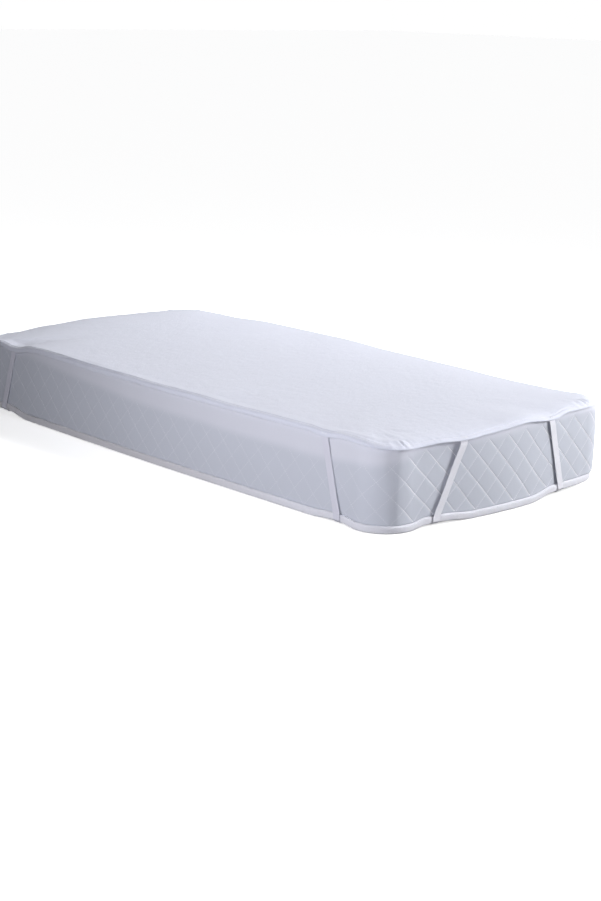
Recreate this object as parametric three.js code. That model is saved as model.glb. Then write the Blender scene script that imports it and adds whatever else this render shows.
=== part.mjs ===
// Waterproof mattress protector: one hemmed sheet laid on a single mattress and
// held by an elastic band across each corner. Millimetres, +Z up, the head end at
// -X and the foot end at +X. The near long side is -Y and the far one +Y.
import * as THREE from "three";
import { ParametricGeometry } from "three/addons/geometries/ParametricGeometry.js";
import { mergeGeometries, mergeVertices } from "three/addons/utils/BufferGeometryUtils.js";

// Mattress
const MATTRESS_LENGTH = 1900;
const MATTRESS_WIDTH = 900;
const MATTRESS_HEIGHT = 245;
const CORNER_RADIUS = 100;
const LONG_SIDE_BULGE = 10;
const END_BULGE = 20;
const BULGE_SHARPNESS = 1.5;
const SHOULDER_INSET = 32;
const SHOULDER_DROP = 25;
const CROWN_RISE = 5;
const SIDE_BELLY = 2;

// Quilted border: diamonds counted round the mattress, quarters counted up it
const DIAMONDS_ROUND = 74;
const DIAMOND_QUARTERS = 4;
const QUARTERS_HIGH = 10;
const QUILT_SHIFT = 28.5;
const QUILT_DEPTH = 4;

// Bottom edge: the tape lies in a step cut round the mattress
const STEP_DEPTH = 12;
const STEP_HEIGHT = 22;
const UNDERSIDE_RELIEF = 2.6;
const RELIEF_INSET = 90;
const RELIEF_END_SHARE = 0.25;
const RELIEF_FADE = 60;
const TAPE_SECTION = [
  { out: -11.4, height: 0.5 },
  { out: -0.5, height: 0.5 },
  { out: 5.6, height: 7 },
  { out: 5.6, height: 14.5 },
  { out: -1, height: 20.6 },
  { out: -11.4, height: 20.9 },
];

// Protector sheet
const SHEET_THICKNESS = 2.4;
const EDGE_CLEARANCE = 2;
const TOP_CLEARANCE = 0.4;
const RIM_INSET = 75;
const MIDDLE_SHARE = 0.4;
const PUCKER_HALF_WIDTH = 24;

// Elastic corner bands, measured from the mattress's corners along its edges
const STRAP_WIDTH = 25;
const STRAP_THICKNESS = 1.2;
const STRAP_CLEARANCE = 0.65;
const LONG_STRAP_TOP = 220;
const LONG_STRAP_CROSSING = 163;
const END_STRAP_TOP = 274;
const END_STRAP_CROSSING = 200;
const FOOT_CROSSING_SHIFT = -13;
const STRAP_STEPS_PER_POINT = 2;
const SEWN_SHARE = 0.35;
const LEG_SHARES = [0.04, 0.25, 0.5, 0.75, 0.97];
// Under the mattress: how far in, how far towards the corner, and share of the lift
const UNDER_KNOTS = [
  { inset: 12, along: 1, lifted: 0.66 },
  { inset: 24, along: 5, lifted: 0.22 },
  { inset: 36, along: 14, lifted: 0 },
  { inset: 48, along: 26, lifted: 0 },
];

// Straight stretches and arcs of the plan outline
const HALF_LONG = MATTRESS_LENGTH / 2 - CORNER_RADIUS;
const HALF_END = MATTRESS_WIDTH / 2 - CORNER_RADIUS;
const ARC = (Math.PI / 2) * CORNER_RADIUS;
const QUARTER = HALF_END + ARC + HALF_LONG;
const PERIMETER = 4 * QUARTER;
const SPINE_HALF_LENGTH = (MATTRESS_LENGTH - MATTRESS_WIDTH) / 2;

// A place on the outline is its distance round it, from the middle of the head end
// towards the near long side. Each function takes a distance along its own side.
const PLACE = {
  head: (y) => (PERIMETER - y) % PERIMETER,
  near: (x) => QUARTER + x,
  foot: (y) => 2 * QUARTER + y,
  far: (x) => 3 * QUARTER - x,
};
const LONG_TOP_X = MATTRESS_LENGTH / 2 - LONG_STRAP_TOP;
const LONG_CROSSING_X = MATTRESS_LENGTH / 2 - LONG_STRAP_CROSSING;
const END_TOP_Y = MATTRESS_WIDTH / 2 - END_STRAP_TOP;
const END_CROSSING_Y = MATTRESS_WIDTH / 2 - END_STRAP_CROSSING;
const STRAP_FLAT = 16;

// How far the plan outline swells out or draws in at the corners that show
const CORNER_EASE = [
  { side: "near", at: 790, ease: 0 },
  { side: "near", at: 928, ease: 4 },
  { side: "foot", at: -310, ease: 0 },
  { side: "foot", at: 300, ease: 0 },
  { side: "far", at: 928, ease: -11 },
  { side: "far", at: 780, ease: 0 },
  { side: "head", at: 0, ease: 0 },
];

// Height of the sheet's underside where it starts to turn down, which the bands pull in
const TOP_EDGE = [
  { side: "head", at: 0, height: 242 },
  { side: "head", at: -END_TOP_Y + STRAP_FLAT, height: 236 },
  { side: "head", at: -END_TOP_Y - STRAP_FLAT, height: 236 },
  { side: "head", at: -272, height: 229 },
  { side: "head", at: -380, height: 225 },
  { side: "near", at: -860, height: 229 },
  { side: "near", at: -805, height: 235 },
  { side: "near", at: -LONG_TOP_X - STRAP_FLAT, height: 228 },
  { side: "near", at: -LONG_TOP_X + STRAP_FLAT, height: 228 },
  { side: "near", at: -660, height: 240 },
  { side: "near", at: -575, height: 246 },
  { side: "near", at: -300, height: 246 },
  { side: "near", at: 20, height: 241 },
  { side: "near", at: 186, height: 243 },
  { side: "near", at: 343, height: 240 },
  { side: "near", at: 546, height: 243 },
  { side: "near", at: LONG_TOP_X, height: 243 },
  { side: "near", at: 840, height: 246 },
  { side: "near", at: 930, height: 240 },
  { side: "foot", at: -330, height: 239 },
  { side: "foot", at: -END_TOP_Y, height: 238 },
  { side: "foot", at: -50, height: 240 },
  { side: "foot", at: 70, height: 247 },
  { side: "foot", at: END_TOP_Y, height: 242 },
  { side: "foot", at: 270, height: 249 },
  { side: "far", at: 900, height: 249 },
  { side: "far", at: LONG_TOP_X, height: 240 },
  { side: "far", at: 530, height: 237 },
  { side: "far", at: 345, height: 240 },
  { side: "far", at: 50, height: 241 },
  { side: "far", at: -127, height: 248 },
  { side: "far", at: -517, height: 247 },
  { side: "far", at: -LONG_TOP_X, height: 238 },
  { side: "far", at: -900, height: 237 },
  { side: "head", at: 300, height: 240 },
];

// Lower edge of the hem: its height, and how far it stands off the outline
const HEM_EDGE = [
  { side: "head", at: 0, height: 231, stand: 3 },
  { side: "head", at: -END_TOP_Y + STRAP_FLAT, height: 221, stand: 8 },
  { side: "head", at: -END_TOP_Y - STRAP_FLAT, height: 221, stand: 8 },
  { side: "head", at: -300, height: 214, stand: 4 },
  { side: "near", at: -890, height: 215, stand: 5 },
  { side: "near", at: -805, height: 224, stand: 5 },
  { side: "near", at: -LONG_TOP_X - STRAP_FLAT, height: 216, stand: 5 },
  { side: "near", at: -LONG_TOP_X + STRAP_FLAT, height: 216, stand: 5 },
  { side: "near", at: -650, height: 227, stand: 3 },
  { side: "near", at: -550, height: 232, stand: 3 },
  { side: "near", at: -302, height: 227, stand: 3 },
  { side: "near", at: -73, height: 229, stand: 3 },
  { side: "near", at: 95, height: 229, stand: 3 },
  { side: "near", at: 257, height: 229, stand: 3 },
  { side: "near", at: 575, height: 230, stand: 3 },
  { side: "near", at: 670, height: 232, stand: 4 },
  { side: "near", at: LONG_TOP_X - STRAP_FLAT, height: 228, stand: 5 },
  { side: "near", at: LONG_TOP_X + STRAP_FLAT, height: 228, stand: 5 },
  { side: "near", at: 800, height: 234, stand: 4 },
  { side: "near", at: 860, height: 234, stand: 4 },
  { side: "near", at: 915, height: 229, stand: 6 },
  { side: "near", at: 965, height: 225, stand: 8 },
  { side: "foot", at: -351, height: 224, stand: 7 },
  { side: "foot", at: -260, height: 227, stand: 9 },
  { side: "foot", at: -END_TOP_Y - STRAP_FLAT, height: 224, stand: 11 },
  { side: "foot", at: -END_TOP_Y + STRAP_FLAT, height: 224, stand: 11 },
  { side: "foot", at: -107, height: 226, stand: 5 },
  { side: "foot", at: -28, height: 230, stand: 3 },
  { side: "foot", at: 70, height: 236, stand: 3 },
  { side: "foot", at: END_TOP_Y - STRAP_FLAT, height: 229, stand: 7 },
  { side: "foot", at: END_TOP_Y + STRAP_FLAT, height: 229, stand: 7 },
  { side: "foot", at: 254, height: 238, stand: 3.5 },
  { side: "foot", at: 340, height: 237, stand: 3.5 },
  { side: "far", at: 900, height: 232, stand: 4 },
  { side: "far", at: LONG_TOP_X + STRAP_FLAT, height: 224, stand: 5 },
  { side: "far", at: LONG_TOP_X - STRAP_FLAT, height: 224, stand: 5 },
  { side: "far", at: 560, height: 225, stand: 3 },
  { side: "far", at: 50, height: 228, stand: 3 },
  { side: "far", at: -300, height: 232, stand: 3 },
  { side: "far", at: -600, height: 230, stand: 3 },
  { side: "far", at: -LONG_TOP_X + STRAP_FLAT, height: 222, stand: 5 },
  { side: "far", at: -LONG_TOP_X - STRAP_FLAT, height: 222, stand: 5 },
  { side: "far", at: -890, height: 222, stand: 7 },
  { side: "head", at: 290, height: 226, stand: 4 },
  { side: "head", at: END_TOP_Y + STRAP_FLAT, height: 225, stand: 8 },
  { side: "head", at: END_TOP_Y - STRAP_FLAT, height: 225, stand: 8 },
];

// How square the sheet turns down: a flatter slope at the ends than at the sides
const BEND_FULLNESS = [
  { side: "head", at: 0, fullness: 0.4 },
  { side: "near", at: -870, fullness: 0.6 },
  { side: "near", at: 830, fullness: 0.62 },
  { side: "near", at: 940, fullness: 0.3 },
  { side: "foot", at: -300, fullness: 0.26 },
  { side: "foot", at: -40, fullness: 0.34 },
  { side: "foot", at: 90, fullness: 0.36 },
  { side: "foot", at: 320, fullness: 0.3 },
  { side: "far", at: 840, fullness: 0.5 },
  { side: "far", at: -860, fullness: 0.55 },
];

// How far the bands lift the mattress's bottom edge off what it stands on
const BOTTOM_LIFT = [
  { side: "head", at: 130, lift: 0 },
  { side: "head", at: -130, lift: 0 },
  { side: "head", at: -END_CROSSING_Y + 22, lift: 9 },
  { side: "head", at: -END_CROSSING_Y - 22, lift: 9 },
  { side: "near", at: -895, lift: 14 },
  { side: "near", at: -LONG_CROSSING_X - 22, lift: 14 },
  { side: "near", at: -LONG_CROSSING_X + 22, lift: 14 },
  { side: "near", at: -660, lift: 0 },
  { side: "near", at: 680, lift: 0 },
  { side: "near", at: LONG_CROSSING_X - 22, lift: 6 },
  { side: "near", at: LONG_CROSSING_X + 18, lift: 6 },
  { side: "near", at: 855, lift: 0 },
  { side: "foot", at: -345, lift: 0 },
  { side: "foot", at: -END_CROSSING_Y - 46, lift: 8 },
  { side: "foot", at: -END_CROSSING_Y + 14, lift: 8 },
  { side: "foot", at: -130, lift: 0 },
  { side: "foot", at: 90, lift: 0 },
  { side: "foot", at: END_CROSSING_Y - 36, lift: 15 },
  { side: "foot", at: END_CROSSING_Y + 18, lift: 15 },
  { side: "far", at: 890, lift: 20 },
  { side: "far", at: LONG_CROSSING_X + 22, lift: 13 },
  { side: "far", at: LONG_CROSSING_X - 22, lift: 13 },
  { side: "far", at: 660, lift: 0 },
  { side: "far", at: -670, lift: 0 },
  { side: "far", at: -LONG_CROSSING_X + 22, lift: 8 },
  { side: "far", at: -LONG_CROSSING_X - 22, lift: 8 },
  { side: "far", at: -890, lift: 6 },
  { side: "head", at: END_CROSSING_Y + 22, lift: 8 },
  { side: "head", at: END_CROSSING_Y - 22, lift: 8 },
];

// Short creases that run in from the hem at the corners and beside the bands
const PUCKERS = [
  { side: "near", at: 868, rise: 2.5 },
  { side: "near", at: 905, rise: 4 },
  { side: "near", at: 955, rise: 3.5 },
  { side: "foot", at: -300, rise: 2.5 },
  { side: "foot", at: 235, rise: 2.5 },
  { side: "foot", at: 310, rise: 3.5 },
  { side: "foot", at: 375, rise: 4.5 },
  { side: "foot", at: 420, rise: 3 },
  { side: "near", at: -775, rise: 3 },
  { side: "near", at: -905, rise: 3 },
];

// Flat rows of the top, from the shoulder in to the middle line, with the clearance
// between the mattress and the sheet
const FLAT_ROWS = [
  { inset: SHOULDER_INSET, share: 0, settle: 0, crease: 1, clear: EDGE_CLEARANCE },
  { inset: RIM_INSET, share: 0, settle: 0.45, crease: 0.3, clear: TOP_CLEARANCE },
  { inset: RIM_INSET, share: MIDDLE_SHARE, settle: 0.9, crease: 0, clear: TOP_CLEARANCE },
  { inset: RIM_INSET, share: 1, settle: 1, crease: 0, clear: TOP_CLEARANCE },
];
// Rows of the sheet round its bend, from the shoulder down to the hem
const BEND_ROWS = [
  { bend: 0.3, crease: 1 },
  { bend: 0.62, crease: 0.8 },
  { bend: 1, crease: 0.6 },
];

const PROTECTOR_CLOTH = new THREE.MeshStandardMaterial({ color: 0xdfe2ec, roughness: 0.92, metalness: 0 });
const BORDER_CLOTH = new THREE.MeshStandardMaterial({ color: 0xd5d7dd, roughness: 0.85, metalness: 0 });
const TAPE_CLOTH = new THREE.MeshStandardMaterial({ color: 0xf1f1f2, roughness: 0.9, metalness: 0 });
const ELASTIC = new THREE.MeshStandardMaterial({ color: 0xe9e8ee, roughness: 0.8, metalness: 0 });

/** Point and outward direction of the plan outline at a place round it. */
function outline(place) {
  const wrapped = ((place % PERIMETER) + PERIMETER) % PERIMETER;
  const mirrored = wrapped > PERIMETER / 2;
  const s = mirrored ? PERIMETER - wrapped : wrapped;
  const swell = (share, bulge) => {
    const wave = Math.sin(Math.PI * Math.min(1, Math.max(0, share)));
    return bulge * wave ** BULGE_SHARPNESS;
  };
  let x = -HALF_LONG + (s - HALF_END - ARC);
  let y = -HALF_END;
  let turn = 0;
  let bulge = swell((x + HALF_LONG) / (2 * HALF_LONG), LONG_SIDE_BULGE);
  if (s < HALF_END + ARC) {
    turn = -Math.min(1, (HALF_END + ARC - s) / ARC) * (Math.PI / 2);
    x = -HALF_LONG;
    y = -Math.min(s, HALF_END);
    bulge = swell((HALF_END - s) / (2 * HALF_END), END_BULGE);
  } else if (s > 2 * QUARTER - HALF_END - ARC) {
    const past = s - (2 * QUARTER - HALF_END - ARC);
    turn = Math.min(1, past / ARC) * (Math.PI / 2);
    x = HALF_LONG;
    y = -HALF_END + Math.max(0, past - ARC);
    bulge = swell((y + HALF_END) / (2 * HALF_END), END_BULGE);
  }
  const outX = Math.sin(turn);
  const outY = -Math.cos(turn);
  const reach = CORNER_RADIUS + (bulge || 0) + cornerEase(wrapped);
  const flip = mirrored ? -1 : 1;
  return {
    x: x + outX * reach,
    y: flip * (y + outY * reach),
    outX,
    outY: flip * outY,
  };
}

/** Point at a place, a distance out from the outline, at a height. */
function atEdge(place, out, height) {
  const edge = outline(place);
  return new THREE.Vector3(edge.x + edge.outX * out, edge.y + edge.outY * out, height);
}

/** Point a share of the way from an inset of the outline to the middle line. */
function towardsMiddle(place, inset, share, height) {
  const point = atEdge(place, -inset, height);
  const spineX = Math.min(SPINE_HALF_LENGTH, Math.max(-SPINE_HALF_LENGTH, outline(place).x));
  return point.lerp(new THREE.Vector3(spineX, 0, height), share);
}

/** Smooth periodic curve through a table's rows that never overshoots them. */
function edgeCurve(table, column) {
  const rows = table.map((row) => ({ place: PLACE[row.side](row.at), value: row[column] }));
  rows.sort((a, b) => a.place - b.place);
  const count = rows.length;
  const span = rows.map((row, i) => (rows[(i + 1) % count].place - row.place + PERIMETER) % PERIMETER);
  const rise = rows.map((row, i) => (rows[(i + 1) % count].value - row.value) / span[i]);
  const slope = rows.map((row, i) => {
    const before = rise[(i + count - 1) % count];
    const after = rise[i];
    return before * after <= 0 ? 0 : (2 * before * after) / (before + after);
  });
  return (place) => {
    const s = ((place % PERIMETER) + PERIMETER) % PERIMETER;
    const next = rows.findIndex((row) => row.place > s);
    const i = (next < 0 ? count - 1 : next + count - 1) % count;
    const j = (i + 1) % count;
    const t = ((s - rows[i].place + PERIMETER) % PERIMETER) / span[i];
    const before = rows[i].value * (1 + 2 * t) * (1 - t) ** 2 + rows[j].value * t * t * (3 - 2 * t);
    return before + span[i] * (slope[i] * t * (1 - t) ** 2 - slope[j] * t * t * (1 - t));
  };
}

const cornerEase = edgeCurve(CORNER_EASE, "ease");
const topEdge = edgeCurve(TOP_EDGE, "height");
const hemHeight = edgeCurve(HEM_EDGE, "height");
const hemStand = edgeCurve(HEM_EDGE, "stand");
const bendFullness = edgeCurve(BEND_FULLNESS, "fullness");
const bottomLift = edgeCurve(BOTTOM_LIFT, "lift");

/** Rise of the creases at a place: a row of narrow bumps. */
function pucker(place) {
  return PUCKERS.reduce((sum, crease) => {
    const away = Math.abs(place - PLACE[crease.side](crease.at)) / PUCKER_HALF_WIDTH;
    return sum + (away < 1 ? crease.rise * Math.cos((away * Math.PI) / 2) ** 2 : 0);
  }, 0);
}

/** Places round the edge, close together at the corners and at the bands. */
function edgePlaces() {
  const cornerEnd = HALF_END + ARC;
  const longCrossing = cornerEnd + HALF_LONG - LONG_CROSSING_X;
  const longTop = cornerEnd + HALF_LONG - LONG_TOP_X;
  const stops = [
    { to: END_TOP_Y - STRAP_FLAT, steps: 3 },
    { to: END_TOP_Y + STRAP_FLAT, steps: 2 },
    { to: END_CROSSING_Y - STRAP_FLAT, steps: 2 },
    { to: END_CROSSING_Y + STRAP_FLAT, steps: 2 },
    { to: HALF_END, steps: 3 },
    { to: cornerEnd, steps: 7 },
    { to: longCrossing - STRAP_FLAT, steps: 2 },
    { to: longCrossing + STRAP_FLAT, steps: 2 },
    { to: longTop - STRAP_FLAT, steps: 1 },
    { to: longTop + STRAP_FLAT, steps: 2 },
    { to: longTop + 150, steps: 4 },
    { to: QUARTER, steps: 8 },
  ];
  const quarter = [0];
  for (const { to, steps } of stops) {
    const from = quarter[quarter.length - 1];
    for (let k = 1; k <= steps; k += 1) {
      quarter.push(from + ((to - from) * k) / steps);
    }
  }
  const half = [...quarter, ...quarter.slice(0, -1).reverse().map((s) => 2 * QUARTER - s)];
  return [...half.slice(0, -1), ...half.slice(1).reverse().map((s) => PERIMETER - s)];
}

const PLACES = edgePlaces();

/** Grid of a closed band: rows of points, each worked out at every place. */
function band(places, rows) {
  const count = places.length;
  const surface = (u, v, target) => {
    const place = places[Math.round(u * count) % count];
    target.copy(rows[Math.round(v * (rows.length - 1))](place));
  };
  return new ParametricGeometry(surface, count, rows.length - 1);
}

/** Stitches two rings of points that are spaced differently, lower to upper. */
function seam(lowerPlaces, lowerRow, upperPlaces, upperRow) {
  const corners = [];
  let low = 0;
  let high = 0;
  const lowAt = (k) => (k < lowerPlaces.length ? lowerPlaces[k] : PERIMETER + lowerPlaces[0]);
  const highAt = (k) => (k < upperPlaces.length ? upperPlaces[k] : PERIMETER + upperPlaces[0]);
  while (low < lowerPlaces.length || high < upperPlaces.length) {
    const lowLeft = low < lowerPlaces.length && lowAt(low + 1) <= highAt(high + 1);
    const alongLow = high >= upperPlaces.length || lowLeft;
    const third = alongLow ? lowerRow(lowAt(low + 1) % PERIMETER) : upperRow(highAt(high + 1) % PERIMETER);
    corners.push(lowerRow(lowAt(low) % PERIMETER), third, upperRow(highAt(high) % PERIMETER));
    low += alongLow ? 1 : 0;
    high += alongLow ? 0 : 1;
  }
  return new THREE.BufferGeometry().setFromPoints(corners);
}

/** Joins pieces of surface into one closed solid with shared corners. */
function closed(pieces, inward = false) {
  const bare = pieces.map((piece) => {
    const loose = piece.index ? piece.toNonIndexed() : piece;
    const positions = loose.getAttribute("position").array.map((value) => Math.round(value * 1000) / 1000);
    return new THREE.BufferGeometry().setAttribute("position", new THREE.BufferAttribute(positions, 3));
  });
  const joined = mergeVertices(mergeGeometries(bare), 1e-4);
  const index = joined.index.array;
  const kept = [];
  for (let k = 0; k < index.length; k += 3) {
    const [a, b, c] = [index[k], index[k + 1], index[k + 2]];
    if (a !== b && b !== c && c !== a) {
      kept.push(...(inward ? [a, c, b] : [a, b, c]));
    }
  }
  joined.setIndex(kept);
  joined.computeVertexNormals();
  return joined;
}

/** Height of the sheet's underside at a flat row. */
function topHeight(place, row) {
  return THREE.MathUtils.lerp(topEdge(place), MATTRESS_HEIGHT + CROWN_RISE, row.settle);
}

/** The quilted border: rows of diamonds pressed in along their stitched lines. */
function quiltedBorder() {
  const columns = DIAMONDS_ROUND * DIAMOND_QUARTERS;
  const pitch = PERIMETER / columns;
  const rowAt = (j) => (place) => {
    const i = Math.round((place - QUILT_SHIFT) / pitch) + columns;
    const toLine = (steps) => 1 - Math.abs(1 - ((((steps % 4) + 4) % 4) / 2));
    const crown = 1 - (1 - Math.min(toLine(i + j), toLine(i - j))) ** 2;
    const pressed = j === 0 || j === QUARTERS_HIGH ? 0 : QUILT_DEPTH * (1 - crown);
    const share = j / QUARTERS_HIGH;
    const base = STEP_HEIGHT + bottomLift(place);
    const height = THREE.MathUtils.lerp(base, topEdge(place) - EDGE_CLEARANCE - SHOULDER_DROP, share);
    return atEdge(place, SIDE_BELLY * Math.sin(Math.PI * share) - pressed, height);
  };
  const places = Array.from({ length: columns }, (unused, i) => (QUILT_SHIFT % pitch) + i * pitch);
  const firstColumn = columns - Math.floor(QUILT_SHIFT / pitch);
  const rows = Array.from({ length: QUARTERS_HIGH + 1 }, (unused, j) => rowAt(j));
  const surface = band(places, rows);
  const faces = [];
  for (let j = 0; j < QUARTERS_HIGH; j += 1) {
    for (let k = 0; k < columns; k += 1) {
      const a = j * (columns + 1) + k;
      const b = a + 1;
      const d = a + columns + 1;
      const c = d + 1;
      const i = firstColumn + k;
      const rising = (i + j) % 2 === 0 ? (i - j) % 4 === 0 : (i + j + 1) % 4 !== 0;
      faces.push(...(rising ? [a, b, c, a, c, d] : [a, b, d, b, c, d]));
    }
  }
  surface.setIndex(faces);
  return { surface, places, bottomRow: rows[0], topRow: rows[QUARTERS_HIGH] };
}

/** How far the underside is hollowed at a place, to leave room for the bands. */
function underRelief(place) {
  const side = place % (2 * QUARTER);
  const fromEnd = Math.min(side, 2 * QUARTER - side);
  const long = HALF_END + ARC + HALF_LONG - LONG_CROSSING_X;
  const { smoothstep } = THREE.MathUtils;
  const begun = smoothstep(fromEnd, END_CROSSING_Y - 1.7 * RELIEF_FADE, END_CROSSING_Y - 0.7 * RELIEF_FADE);
  return UNDERSIDE_RELIEF * (begun - smoothstep(fromEnd, long + 0.7 * RELIEF_FADE, long + 1.7 * RELIEF_FADE));
}

/** The mattress: flat underside, stepped bottom edge, quilted border, soft top. */
function mattress() {
  const underside = [
    (place) => towardsMiddle(place, RELIEF_INSET, 1, 0),
    (place) => towardsMiddle(place, RELIEF_INSET, RELIEF_END_SHARE, 0),
    (place) => atEdge(place, -RELIEF_INSET, underRelief(place)),
    (place) => atEdge(place, -STEP_DEPTH, bottomLift(place)),
    (place) => atEdge(place, -STEP_DEPTH, STEP_HEIGHT + bottomLift(place)),
  ];
  const round = 1 - Math.SQRT1_2;
  const shoulder = (place) => (
    atEdge(place, -SHOULDER_INSET * round, topEdge(place) - EDGE_CLEARANCE - SHOULDER_DROP * round)
  );
  const top = FLAT_ROWS.map((row) => (place) => (
    towardsMiddle(place, row.inset, row.share, topHeight(place, row) - row.clear)
  ));
  const border = quiltedBorder();
  return closed([
    band(PLACES, underside),
    seam(PLACES, underside[underside.length - 1], border.places, border.bottomRow),
    border.surface,
    seam(border.places, border.topRow, PLACES, shoulder),
    band(PLACES, [shoulder, ...top]),
  ]);
}

/** The binding round the bottom edge: one section carried round, and closed. */
function edgeTape() {
  const rows = [...TAPE_SECTION, TAPE_SECTION[0]].map((corner) => (place) => (
    atEdge(place, corner.out, corner.height + bottomLift(place))
  ));
  return closed([band(PLACES, rows)]);
}

/** Middle of the sheet's thickness round its bend, with the way it faces. */
function sheetBend(place, bend) {
  const shoulder = topEdge(place) + SHEET_THICKNESS / 2;
  const start = new THREE.Vector2(-SHOULDER_INSET, shoulder);
  const end = new THREE.Vector2(hemStand(place), hemHeight(place));
  const fullness = bendFullness(place);
  const across = start.clone().setX(THREE.MathUtils.lerp(start.x, end.x, fullness));
  const down = end.clone().setY(THREE.MathUtils.lerp(end.y, start.y, fullness));
  const curve = new THREE.CubicBezierCurve(start, across, down, end);
  const along = curve.getTangent(bend);
  return { at: curve.getPoint(bend), facing: new THREE.Vector2(-along.y, along.x) };
}

/** The protector: its upper skin out to the hem, then its under skin back in. */
function protectorSheet() {
  const flat = (row, lift) => (place) => (
    towardsMiddle(place, row.inset, row.share, topHeight(place, row) + lift + row.crease * pucker(place))
  );
  const bent = (row, side) => (place) => {
    const { at, facing } = sheetBend(place, row.bend);
    at.addScaledVector(facing, (side * SHEET_THICKNESS) / 2 + row.crease * pucker(place));
    return atEdge(place, at.x, at.y);
  };
  const inwards = [...BEND_ROWS].reverse();
  const rows = [
    ...[...FLAT_ROWS].reverse().map((row) => flat(row, SHEET_THICKNESS)),
    ...BEND_ROWS.map((row) => bent(row, 1)),
    ...inwards.map((row) => bent(row, -1)),
    ...FLAT_ROWS.map((row) => flat(row, 0)),
  ];
  return closed([band(PLACES, rows)], true);
}

/** Direction along the outline at a place. */
function alongEdge(place) {
  return atEdge(place + 1, 0, 0).sub(atEdge(place - 1, 0, 0)).normalize();
}

/** Knots down one leg of a band, from behind its hem and round the bottom tape. */
function strapLeg(topPlace, crossingPlace) {
  const lift = bottomLift(crossingPlace);
  const reach = STRAP_THICKNESS / 2 + STRAP_CLEARANCE;
  const [, above, hem] = BEND_ROWS.map(({ bend }) => {
    const { at, facing } = sheetBend(topPlace, bend);
    return at.addScaledVector(facing, -SHEET_THICKNESS / 2);
  });
  const down = hem.clone().sub(above).normalize();
  const behind = new THREE.Vector2(down.y, -down.x).multiplyScalar(reach);
  const leaving = hem.clone().add(behind);
  const [, underside, lower, upper] = TAPE_SECTION;
  const tapeTop = new THREE.Vector2(upper.out + reach, upper.height + lift);
  const knots = [
    { share: 0, at: above.clone().lerp(hem, SEWN_SHARE).add(behind) },
    ...LEG_SHARES.map((share) => ({ share, at: leaving.clone().lerp(tapeTop, share) })),
    { share: 1, at: new THREE.Vector2(lower.out + reach, lower.height + lift - 0.4 * reach) },
    { share: 1, at: new THREE.Vector2(underside.out + 3.9, underside.height + lift + 2.5) },
    { share: 1, at: new THREE.Vector2(underside.out + 0.4, underside.height + lift - reach) },
  ];
  return knots.map(({ share, at }) => {
    const place = THREE.MathUtils.lerp(topPlace, crossingPlace, share);
    return { point: atEdge(place, at.x, at.y), across: alongEdge(place) };
  });
}

/** Knots of a band under the mattress: it comes down flat and turns to its corner. */
function strapUnder(crossingPlace, cornerPlace) {
  const lift = bottomLift(crossingPlace);
  const towards = alongEdge(crossingPlace).multiplyScalar(Math.sign(cornerPlace - crossingPlace));
  return UNDER_KNOTS.map(({ inset, along, lifted }) => ({
    point: atEdge(crossingPlace, -inset, lifted * lift + STRAP_THICKNESS / 2).addScaledVector(towards, along),
  }));
}

/** One elastic band, from the long side's hem under the corner to the end's hem. */
function cornerStrap(long, end) {
  const rising = strapLeg(end.top, end.crossing).reverse();
  const guide = [
    ...strapLeg(long.top, long.crossing),
    ...strapUnder(long.crossing, long.corner),
    ...strapUnder(end.crossing, end.corner).reverse(),
    ...rising.map(({ point, across }) => ({ point, across: across.negate() })),
  ];
  const path = new THREE.CatmullRomCurve3(guide.map((knot) => knot.point), false, "centripetal");
  const widths = guide.map(({ across }, k) => {
    const along = path.getTangent(k / (guide.length - 1));
    return across ?? new THREE.Vector3(along.y, -along.x, 0).normalize();
  });
  const width = new THREE.CatmullRomCurve3(widths, false, "centripetal");
  const steps = (guide.length - 1) * STRAP_STEPS_PER_POINT;
  const ribbon = new THREE.BoxGeometry(1, STRAP_WIDTH, STRAP_THICKNESS, steps, 1, 1);
  const position = ribbon.getAttribute("position");
  for (let k = 0; k < position.count; k += 1) {
    const share = Math.round((position.getX(k) + 0.5) * steps) / steps;
    const along = path.getTangent(share);
    const across = width.getPoint(share).normalize();
    const facing = along.clone().cross(across).normalize();
    const point = path.getPoint(share);
    point.addScaledVector(across, position.getY(k));
    point.addScaledVector(facing, position.getZ(k));
    position.setXYZ(k, point.x, point.y, Math.max(0, point.z));
  }
  return closed([ribbon]);
}

/** Where a band is sewn, where it turns under, and its corner, on one side. */
function strapSide(side, sewnAt, crossingAt, cornerAt) {
  return { top: PLACE[side](sewnAt), crossing: PLACE[side](crossingAt), corner: PLACE[side](cornerAt) };
}

/** A band's places on the long side and on the end that meet at its corner. */
function strapPlaces(longSide, endSide, alongX, alongY) {
  const endCrossing = alongY * END_CROSSING_Y + (endSide === "foot" ? FOOT_CROSSING_SHIFT : 0);
  return {
    long: strapSide(longSide, alongX * LONG_TOP_X, alongX * LONG_CROSSING_X, alongX * HALF_LONG),
    end: strapSide(endSide, alongY * END_TOP_Y, endCrossing, alongY * HALF_END),
  };
}

const STRAPS = {
  strap_near_head: strapPlaces("near", "head", -1, -1),
  strap_near_foot: strapPlaces("near", "foot", 1, -1),
  strap_far_foot: strapPlaces("far", "foot", 1, 1),
  strap_far_head: strapPlaces("far", "head", -1, 1),
};

/** Adds a named piece to the part. */
function addPiece(group, name, geometry, material) {
  const mesh = new THREE.Mesh(geometry, material);
  mesh.name = name;
  group.add(mesh);
}

const protector = new THREE.Group();
addPiece(protector, "mattress", mattress(), BORDER_CLOTH);
addPiece(protector, "mattress_edge_tape", edgeTape(), TAPE_CLOTH);
addPiece(protector, "protector_sheet", protectorSheet(), PROTECTOR_CLOTH);
for (const [name, { long, end }] of Object.entries(STRAPS)) {
  addPiece(protector, name, cornerStrap(long, end), ELASTIC);
}

export default protector;
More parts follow.
